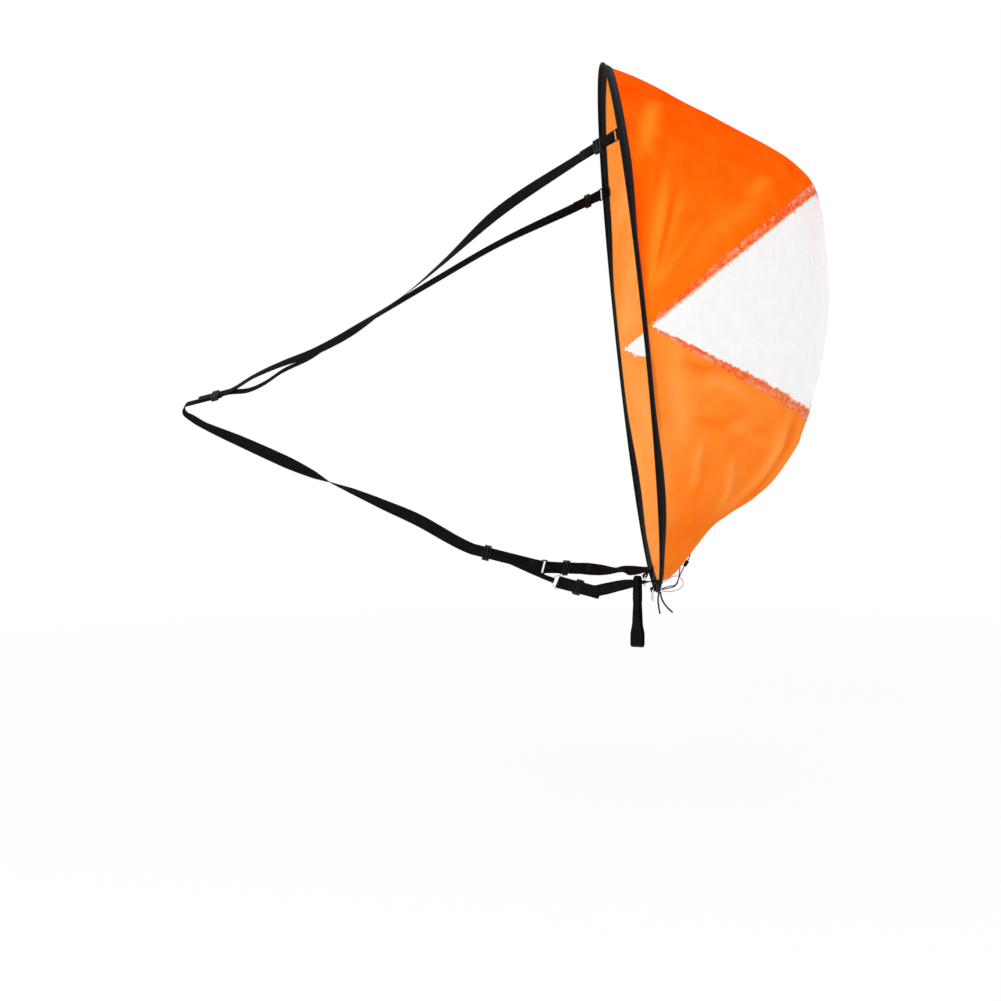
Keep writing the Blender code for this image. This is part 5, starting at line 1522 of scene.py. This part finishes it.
def panel_grid(angles, across_seam, up_seam, settings, seam_run, phase):
    """Places, normals and sewn metres of a cloth panel, from its seam to its edge."""
    turn = np.radians(angles)
    lean = np.radians(rim_lean(np.abs((angles + 180) % 360 - 180)))
    reach = HOOP_RADIUS - EDGE_STRIP * np.cos(lean)
    end_across, end_up = reach * np.sin(turn), reach * np.cos(turn)
    span = np.hypot(end_across - across_seam, end_up - up_seam)
    line = along_seam(seam_run)
    jag = sum(high * noise_at(line, wide, phase) for wide, high in JAG_SPANS)
    jag = jag / np.maximum(span, JAG_ROOM)
    t = (np.arange(CLOTH_ROWS + 1) / CLOTH_ROWS) ** CLOTH_CROWD
    t = np.maximum(t[None, :] + jag[:, None] * (1 - t[None, :]) ** JAG_FADE, JAG_LIMIT)
    across = across_seam[:, None] + (end_across - across_seam)[:, None] * t
    up = up_seam[:, None] + (end_up - up_seam)[:, None] * t
    base = bowl_places(across, up, depth_at(across, up))
    normals = bowl_normals(across, up)
    fade = eased((1 - t) * span[:, None] / EDGE_FADE)
    height = sail_height(base, across, up, settings) * fade
    places = base + normals * height[..., None]
    radial_way = UPWARD * np.cos(turn)[:, None] + SIDEWAYS * np.sin(turn)[:, None]
    inward = OUTWARD * np.sin(lean)[:, None] - radial_way * np.cos(lean)[:, None]
    upwind = -OUTWARD * np.cos(lean)[:, None] - radial_way * np.sin(lean)[:, None]
    wire = CENTRE + radial_way * HOOP_RADIUS
    strip = [wire + inward * s for s in HIDDEN_ROWS]
    places = np.concatenate((places, np.stack(strip, axis=1)), axis=1)
    normals = np.concatenate((normals, np.stack([-upwind] * 3, axis=1)), axis=1)
    runs = np.linalg.norm(np.diff(places, axis=1), axis=2)
    v = np.concatenate((np.zeros((len(angles), 1)), np.cumsum(runs, axis=1)), axis=1)
    u = np.broadcast_to(seam_run[:, None], v.shape)
    return places, normals, np.stack((u, v), axis=-1)


def eased(share):
    share = np.clip(share, 0, 1)
    return share * share * (3 - 2 * share)


def make_panel(name, nodes, finish_name, side, settings):
    """One orange cloth panel, above the window where side is 1 and below it at -1."""
    upper = side > 0
    corner = CORNER_ANGLE - side * math.degrees(BUTT / HOOP_RADIUS)
    share = side * np.linspace(-1, 1, CLOTH_COLUMNS)
    angles = share * corner if upper else 180 + share * (corner - 180)
    across = CORNER_ACROSS * np.sin(math.pi / 2 * share)
    slope, seam = (UPPER_SEAM_SLOPE, UPPER_SEAM) if upper else (-LOWER_SEAM_SLOPE, LOWER_SEAM)
    up = seam_height(across, slope, CORNER_UP + side * BUTT)
    run = np.interp(across, seam[0], seam[2])
    phase = PANEL_PHASES[0 if upper else 1]
    places, normals, uvs = panel_grid(angles, across, up, settings, run, phase)
    mesh, lining = sheet_mesh(name, places, normals, uvs, settings.cloth)
    # Painted fold light and shade for both faces of the cloth, stored as the drawn attribute
    drawn = painted_fold_light_shares(places).ravel()
    values = np.full(len(mesh.vertices), 0.5, dtype=np.float32)
    values[:2 * drawn.size] = np.tile(drawn, 2)
    mesh.attributes.new("drawn", "FLOAT", "POINT").data.foreach_set("value", values)
    face_out(mesh)
    piece = place_piece(name, mesh, [finish_name, "orange_lining"], SAIL, nodes, 60, lining)


def lap_faces(columns, rows, total):
    """Material numbers that give the film's two laps their own finish."""
    low = np.arange(rows - 1) < FILM_LAP_ROWS
    lap = low | (np.arange(rows - 1) >= rows - 1 - FILM_LAP_ROWS)
    numbers = np.zeros(total, dtype=np.int32)
    both = np.tile(lap, 2 * (columns - 1))
    numbers[:len(both)] = both
    return numbers


def sew_glints(line, aside):
    """Short runs of zigzag stitches in pale thread, here and there along a row: painted glints in
    place of the film's highlights.
    """
    aside = unit(aside) * GLINT_REACH
    run = lengths_along(line)
    spots = np.arange(GLINT_REACH, run[-1], GLINT_PITCH)
    zigzag = []
    for i, spot in enumerate(spots):
        place = np.array([np.interp(spot, run, line[:, k]) for k in range(3)])
        k = min(int(np.searchsorted(run, spot)), len(run) - 1)
        if noise.noise(Vector(place) * GLINT_RATE) > GLINT_LEVEL:
            zigzag.append(place + aside[k] * (1 if i % 2 else -1))
        else:
            if len(zigzag) > 1:
                sew(SAIL, "pale_thread", zigzag)
            zigzag = []


def make_window(settings):
    """Clear film lapped over both cloth panels and sewn twice along each seam."""
    reach = CORNER_ACROSS - FILM_END_LAP
    across = reach * np.sin(np.linspace(-math.pi / 2, math.pi / 2, FILM_COLUMNS))
    top = seam_height(across, UPPER_SEAM_SLOPE, CORNER_UP + BUTT)
    foot = seam_height(across, -LOWER_SEAM_SLOPE, CORNER_UP - BUTT)
    lap = lap_at(across)
    edge = np.linspace(0, 1, FILM_LAP_ROWS, endpoint=False)
    t = np.linspace(0, 1, FILM_ROWS)
    low = (foot - lap)[:, None] + lap[:, None] * edge
    inside = foot[:, None] + (top - foot)[:, None] * t
    high = top[:, None] + lap[:, None] * (1 - edge[::-1])
    up = np.concatenate((low, inside, high), axis=1)
    wide = np.broadcast_to(across[:, None], up.shape).copy()
    base = bowl_places(wide, up, depth_at(wide, up))
    normals = bowl_normals(wide, up)
    height = sail_height(base, wide, up, settings) + FILM_LIFT
    from_seam = np.minimum(up - foot[:, None], top[:, None] - up)
    free = eased(from_seam / CREASE_FADE)
    for span, high_by in CREASE_SPANS:
        ridge = RIDGE_TOP - RIDGE_FALL * np.abs(noise_at(base, span, CREASE_PHASE))
        height += settings.crease_share * high_by * ridge * free
    places = base + normals * height[..., None]
    u = np.interp(across, UPPER_SEAM[0], UPPER_SEAM[2])
    uvs = np.stack(np.broadcast_arrays(u[:, None], up), axis=-1)
    mesh, _ = sheet_mesh("window_film", places, normals, uvs, settings.film)
    face_out(mesh)
    numbers = lap_faces(len(across), up.shape[1], len(mesh.polygons))
    piece = place_piece("window_film", mesh, ["clear_film", "clear_film_lap"], SAIL,
                        ["window_panel"], 60, numbers)
    sew_window(across, foot, top, lap, settings)


def sew_window(across, foot, top, lap, settings):
    """Two rows of stitches along each of the window's seams, the outer one with painted glints of
    pale thread.
    """
    inner = slice(SEAM_STOP, -SEAM_STOP)
    for share in LAP_SEAMS:
        for edge_up, sign in ((foot, -1), (top, 1)):
            line_up = edge_up + sign * share * lap
            there = bowl_places(across, line_up, depth_at(across, line_up))
            way = bowl_normals(across, line_up)
            rise = sail_height(there, across, line_up, settings) + FILM_LIFT + settings.film / 2
            line = (there + way * rise[:, None])[inner]
            sew(SAIL, "orange_thread", line)
            if share == LAP_SEAMS[-1]:
                sew_glints(line, np.cross(way[inner], np.gradient(line, axis=0)))


def round_frame(angle):
    """The rim's frame with its wire on the true circle."""
    _, inward, upwind, _ = rim_frame(angle)
    return HOOP_CENTRE + radial(angle) * HOOP_RADIUS, inward, upwind


def bead_arc(radius, height, count):
    """Half round of the bead, from a height over its middle line to its back."""
    start = math.degrees(math.asin(height / radius))
    turns = [math.radians(a) for a in np.linspace(start, 180, count)]
    return [(radius * math.cos(t), radius * math.sin(t)) for t in turns]


def make_binding(settings):
    """Tape folded over the hoop wire and both sides of the cloth's edge."""
    slot = CLOTH / 2 + SLOT_GAP
    outer = BEAD_BORE + TAPE
    flange = slot + TAPE
    lip = TAPE / 4
    top = [(FLANGE_REACH, slot + lip), (FLANGE_REACH, flange - lip),
           (FLANGE_REACH - lip, flange)]
    top += [(reach, flange) for reach in FLANGE_RIBS] + bead_arc(outer, flange, BEAD_STEPS[0])
    foot = [(a, -b) for a, b in reversed(top[:-1])]
    pocket = [(a, -b) for a, b in bead_arc(BEAD_BORE, slot, BEAD_STEPS[1])]
    under = [(FLANGE_REACH - lip, -slot), (POCKET_REACH, -slot)] + pocket
    back = [(a, -b) for a, b in reversed(under[:-1])]
    profile = top + foot + under + back
    places = []
    for angle in np.linspace(0, 360, BINDING_SPANS, endpoint=False):
        wire, inward, upwind = round_frame(angle)
        ruck = TAPE / 3 * noise.noise(wire * RUCK_RATE)
        places.append([wire + inward * (a + (ruck if a > RUCK_START else 0)) + upwind * b
                       for a, b in profile])
    places = np.array(places)
    u = np.radians(np.linspace(0, 360, BINDING_SPANS + 1)) * HOOP_RADIUS
    uvs = np.stack(np.broadcast_arrays(u[:, None], girth(profile)[None, :]), axis=-1)
    mesh = surface("folded_binding", places, uvs, (True, True))
    face_out(mesh)
    place_piece("folded_binding", mesh, ["binding_tape"], SAIL, ["rim_binding"], 35)
    for seam in BINDING_SEAMS:
        for side in (-1, 1):
            line = []
            for angle in range(0, 360, BINDING_SEAM_STEP):
                wire, inward, upwind = round_frame(angle)
                lift = upwind * side * (flange + settings.thread / 6)
                line.append(wire + inward * (FLANGE_REACH - seam) + lift)
            sew(SAIL, "dark_thread", line, True)


def strap(name, stations, width=WEB_WIDTH):
    ribbon(name + "_webbing", stations, width, SAIL, [name])
    return stations


def sew_end(stations, start, length=END_BOX):
    """Plain box of stitches across an end of webbing."""
    sew_box(SAIL, stations, start, length, END_BOX_WIDTH, STITCH_OFF, False)


def sew_hand(stations, start):
    """Crossed box of stitches at the hand."""
    sew_box(SAIL, stations, start, HAND_BOX, HAND_BOX_WIDTH, STITCH_SUNK)


def make_reins():
    for prefix, side, route, layer in (
        ("near", -1, NEAR_REIN_ROUTE, 1), ("far", 1, FAR_REIN_ROUTE, 0),
    ):
        rein = strap(prefix + "_rein_strap", rein_stations(side * REIN_ANGLE, route, layer))
        sew_hand(rein, -0.030)
        sew_end(rein, 0.002)
        tab = strap(prefix + "_rein_tab", rein_tab_stations(side * REIN_ANGLE))
        sew_end(tab, 0.001, 0.0055)


def make_lower_harness():
    lower = strap("lower_strap", lower_strap_stations())
    strap("near_link_strap", link_strap_stations(), TAPE_WIDTH)
    sew_end(lower, -0.009, 0.007)
    sew_hand(lower, 0.002)


def make_legs():
    for prefix, side, route, tail in (
        ("near", -1, NEAR_LEG_ROUTE, NEAR_LEG_TAIL), ("far", 1, FAR_LEG_ROUTE, FAR_LEG_TAIL),
    ):
        leg = strap(prefix + "_leg_strap", leg_stations(prefix, side, route, tail))
        tab = strap(prefix + "_base_tab", base_tab_stations(side))
        sew_end(leg, 0.002)
        sew_end(leg, -0.007)
        sew_end(tab, 0.001, 0.0055)


def make_hanging_loop():
    stations = hanging_loop_stations()
    level = max(place.z for place, _ in stations) - LOOP_TOP_RADIUS
    ribbon("hanging_loop_webbing", stations, WEB_WIDTH, "hanging_loop_body", ["hanging_loop"],
           True, lambda height: loop_width(level - height))
    low = min(range(len(stations)), key=lambda i: stations[i][0].z)
    foot = stations[low - 6:low + 7]
    sew_box("hanging_loop_body", foot, 0.001, 0.008, END_BOX_WIDTH, STITCH_OFF)


def finish_hardware():
    """Plating, spring steel and moulded grain on the hard pieces."""
    for finish_name, names in HARDWARE:
        for name in names:
            for slot in frame["nodes"][name].material_slots:
                slot.material = finish(finish_name)


# Stage


def make_floor():
    far, low = FLOOR_HALF, FLOOR_PLACE
    corners = [(-far, -far, low), (far, -far, low), (far, far, low), (-far, far, low)]
    mesh = bpy.data.meshes.new("floor")
    mesh.from_pydata(corners, [], [(0, 1, 2, 3)])
    mesh.materials.append(finish("studio_floor"))
    floor = bpy.data.objects.new("floor", mesh)
    bpy.context.scene.collection.objects.link(floor)


def make_world(settings):
    """White to the camera and in reflections, dimmer as a light."""
    world = bpy.data.worlds.new("studio_white")
    bpy.context.scene.world = world
    world.use_nodes = True
    work = NodeWork(world.node_tree)
    rays = work.add("ShaderNodeLightPath").outputs
    through = work.maths("MAXIMUM", rays["Is Glossy Ray"], rays["Is Transmission Ray"])
    seen = work.maths("MAXIMUM", rays["Is Camera Ray"], through)
    back = world.node_tree.nodes["Background"]
    back.inputs["Color"].default_value = (1, 1, 1, 1)
    work.put(back.inputs["Strength"], work.ramp(seen, 0, 1, settings.ambient, 1))


def add_softbox(name, place, size, energy):
    data = bpy.data.lights.new(name, "AREA")
    data.shape = "RECTANGLE"
    data.size, data.size_y = size
    data.energy = energy
    lamp = bpy.data.objects.new(name, data)
    lamp.location = place
    lamp.rotation_euler = (LIT_PLACE - Vector(place)).to_track_quat("-Z", "Y").to_euler()
    bpy.context.scene.collection.objects.link(lamp)


def make_camera():
    data = bpy.data.cameras.new("camera")
    data.sensor_width = SENSOR_WIDTH
    data.lens = CAMERA_LENS
    data.shift_x, data.shift_y = CAMERA_SHIFT
    camera = bpy.data.objects.new("camera", data)
    camera.location = CAMERA_PLACE
    camera.rotation_euler = (math.pi / 2, 0, CAMERA_HEADING)
    bpy.context.scene.collection.objects.link(camera)
    bpy.context.scene.camera = camera


def make_stage(settings):
    make_camera()
    make_floor()
    make_world(settings)
    for name, place, size in SOFTBOXES:
        add_softbox(name + "_softbox", place, size, getattr(settings, name))
    bpy.context.scene.view_settings.view_transform = "Standard"


# Settings, operators and panel


def length(label, text, value):
    return FloatProperty(name=label, description=text, default=value, min=0, unit="LENGTH",
                         subtype="DISTANCE", precision=5)


def share(label, text, value):
    return FloatProperty(name=label, description=text, default=value, min=0, subtype="FACTOR")


class CanoeSailCloth(bpy.types.PropertyGroup):
    cloth: length("Cloth", "Thickness of the orange cloth", 0.0006)
    film: length("Film", "Thickness of the window film", 0.0004)
    pucker_pitch: length("Gather Pitch", "Distance between gathers at a seam", 0.0092)
    pucker_height: length("Gather Height", "Height of the gathers at a seam", 0.0014)
    pucker_reach: length("Gather Reach", "How far gathers run from a seam", 0.010)
    fold_share: share("Folds", "Height of the open folds against the ones drawn", 1.8)
    crease_share: share("Creases", "Height of the film's creases against the ones drawn", 1.0)


class CanoeSailThread(bpy.types.PropertyGroup):
    stitch_pitch: length("Pitch", "Distance between stitches", 0.0042)
    stitch_length: length("Stitch", "Length of thread that shows in a stitch", 0.0028)
    thread: length("Thread", "Thickness of the thread", 0.0007)


def power(label, text, value):
    return FloatProperty(name=label, description=text, default=value, unit="POWER")


class CanoeSailLight(bpy.types.PropertyGroup):
    ambient: share("Ambient", "Light from the white surroundings", 0.66)
    key: power("Key", "Power of the main softbox", 62)
    fill: power("Fill", "Power of the right softbox", 22)
    top: power("Top", "Power of the overhead softbox", 24)


class SAIL_OT_stage(bpy.types.Operator):
    """Set up the camera, the white floor and the softboxes"""
    bl_idname = "canoe_sail.stage"
    bl_label = "Stage"

    def execute(self, context):
        make_stage(context.scene.canoe_sail_light)
        return {"FINISHED"}


class SAIL_OT_cords(bpy.types.Operator):
    """Tie the cords and their knot at the foot"""
    bl_idname = "canoe_sail.cords"
    bl_label = "Cords"

    def execute(self, context):
        make_cords()
        return {"FINISHED"}


class SAIL_OT_cloth(bpy.types.Operator):
    """Sew the upper and lower cloth panels"""
    bl_idname = "canoe_sail.cloth"
    bl_label = "Cloth"

    def execute(self, context):
        settings = context.scene.canoe_sail_cloth
        make_panel("upper_cloth", ["upper_panel"], "orange_cloth", 1, settings)
        make_panel("lower_cloth", ["near_lower_panel", "far_lower_panel"], "orange_cloth_low",
                   -1, settings)
        return {"FINISHED"}


class SAIL_OT_window(bpy.types.Operator):
    """Lap the clear film over the cloth"""
    bl_idname = "canoe_sail.window"
    bl_label = "Window"

    def execute(self, context):
        make_window(context.scene.canoe_sail_cloth)
        return {"FINISHED"}


class SAIL_OT_binding(bpy.types.Operator):
    """Fold the binding over the hoop"""
    bl_idname = "canoe_sail.binding"
    bl_label = "Binding"

    def execute(self, context):
        make_binding(context.scene.canoe_sail_thread)
        return {"FINISHED"}


class SAIL_OT_reins(bpy.types.Operator):
    """Run both reins and their tabs"""
    bl_idname = "canoe_sail.reins"
    bl_label = "Reins"

    def execute(self, context):
        make_reins()
        return {"FINISHED"}


class SAIL_OT_lower_harness(bpy.types.Operator):
    """Run the lower strap and the link strap"""
    bl_idname = "canoe_sail.lower_harness"
    bl_label = "Lower Harness"

    def execute(self, context):
        make_lower_harness()
        return {"FINISHED"}


class SAIL_OT_legs(bpy.types.Operator):
    """Run both legs and the tabs of the deck rings"""
    bl_idname = "canoe_sail.legs"
    bl_label = "Legs"

    def execute(self, context):
        make_legs()
        return {"FINISHED"}


class SAIL_OT_hanging_loop(bpy.types.Operator):
    """Hang the closed loop on the near leg"""
    bl_idname = "canoe_sail.hanging_loop"
    bl_label = "Hanging Loop"

    def execute(self, context):
        make_hanging_loop()
        return {"FINISHED"}


class SAIL_OT_stitches(bpy.types.Operator):
    """Lay every row of stitches"""
    bl_idname = "canoe_sail.stitches"
    bl_label = "Stitches"

    def execute(self, context):
        make_stitches(context.scene.canoe_sail_thread)
        return {"FINISHED"}


class SAIL_OT_hardware(bpy.types.Operator):
    """Give the rings, sliders, hoop and ferrule their finishes"""
    bl_idname = "canoe_sail.hardware"
    bl_label = "Hardware"

    def execute(self, context):
        finish_hardware()
        return {"FINISHED"}


OPERATORS = (
    SAIL_OT_stage, SAIL_OT_cords, SAIL_OT_cloth, SAIL_OT_window, SAIL_OT_binding,
    SAIL_OT_reins, SAIL_OT_lower_harness, SAIL_OT_legs, SAIL_OT_hanging_loop,
    SAIL_OT_hardware, SAIL_OT_stitches,
)
SETTINGS = (
    ("canoe_sail_cloth", CanoeSailCloth), ("canoe_sail_thread", CanoeSailThread),
    ("canoe_sail_light", CanoeSailLight),
)


class SAIL_PT_panel(bpy.types.Panel):
    bl_label = "Canoe Sail"
    bl_space_type = "VIEW_3D"
    bl_region_type = "UI"
    bl_category = "Canoe Sail"

    def draw(self, context):
        for name, group in SETTINGS:
            box = self.layout.box()
            for key in group.__annotations__:
                box.prop(getattr(context.scene, name), key)
        for kind in OPERATORS:
            self.layout.operator(kind.bl_idname)


def register():
    for name, group in SETTINGS:
        bpy.utils.register_class(group)
        setattr(bpy.types.Scene, name, PointerProperty(type=group))
    for kind in OPERATORS + (SAIL_PT_panel,):
        bpy.utils.register_class(kind)


def unregister():
    for kind in reversed(OPERATORS + (SAIL_PT_panel,)):
        bpy.utils.unregister_class(kind)
    for name, group in reversed(SETTINGS):
        delattr(bpy.types.Scene, name)
        bpy.utils.unregister_class(group)


def main():
    register()
    for kind in OPERATORS:
        family, action = kind.bl_idname.split(".")
        getattr(getattr(bpy.ops, family), action)()


if __name__ == "__main__":
    main()
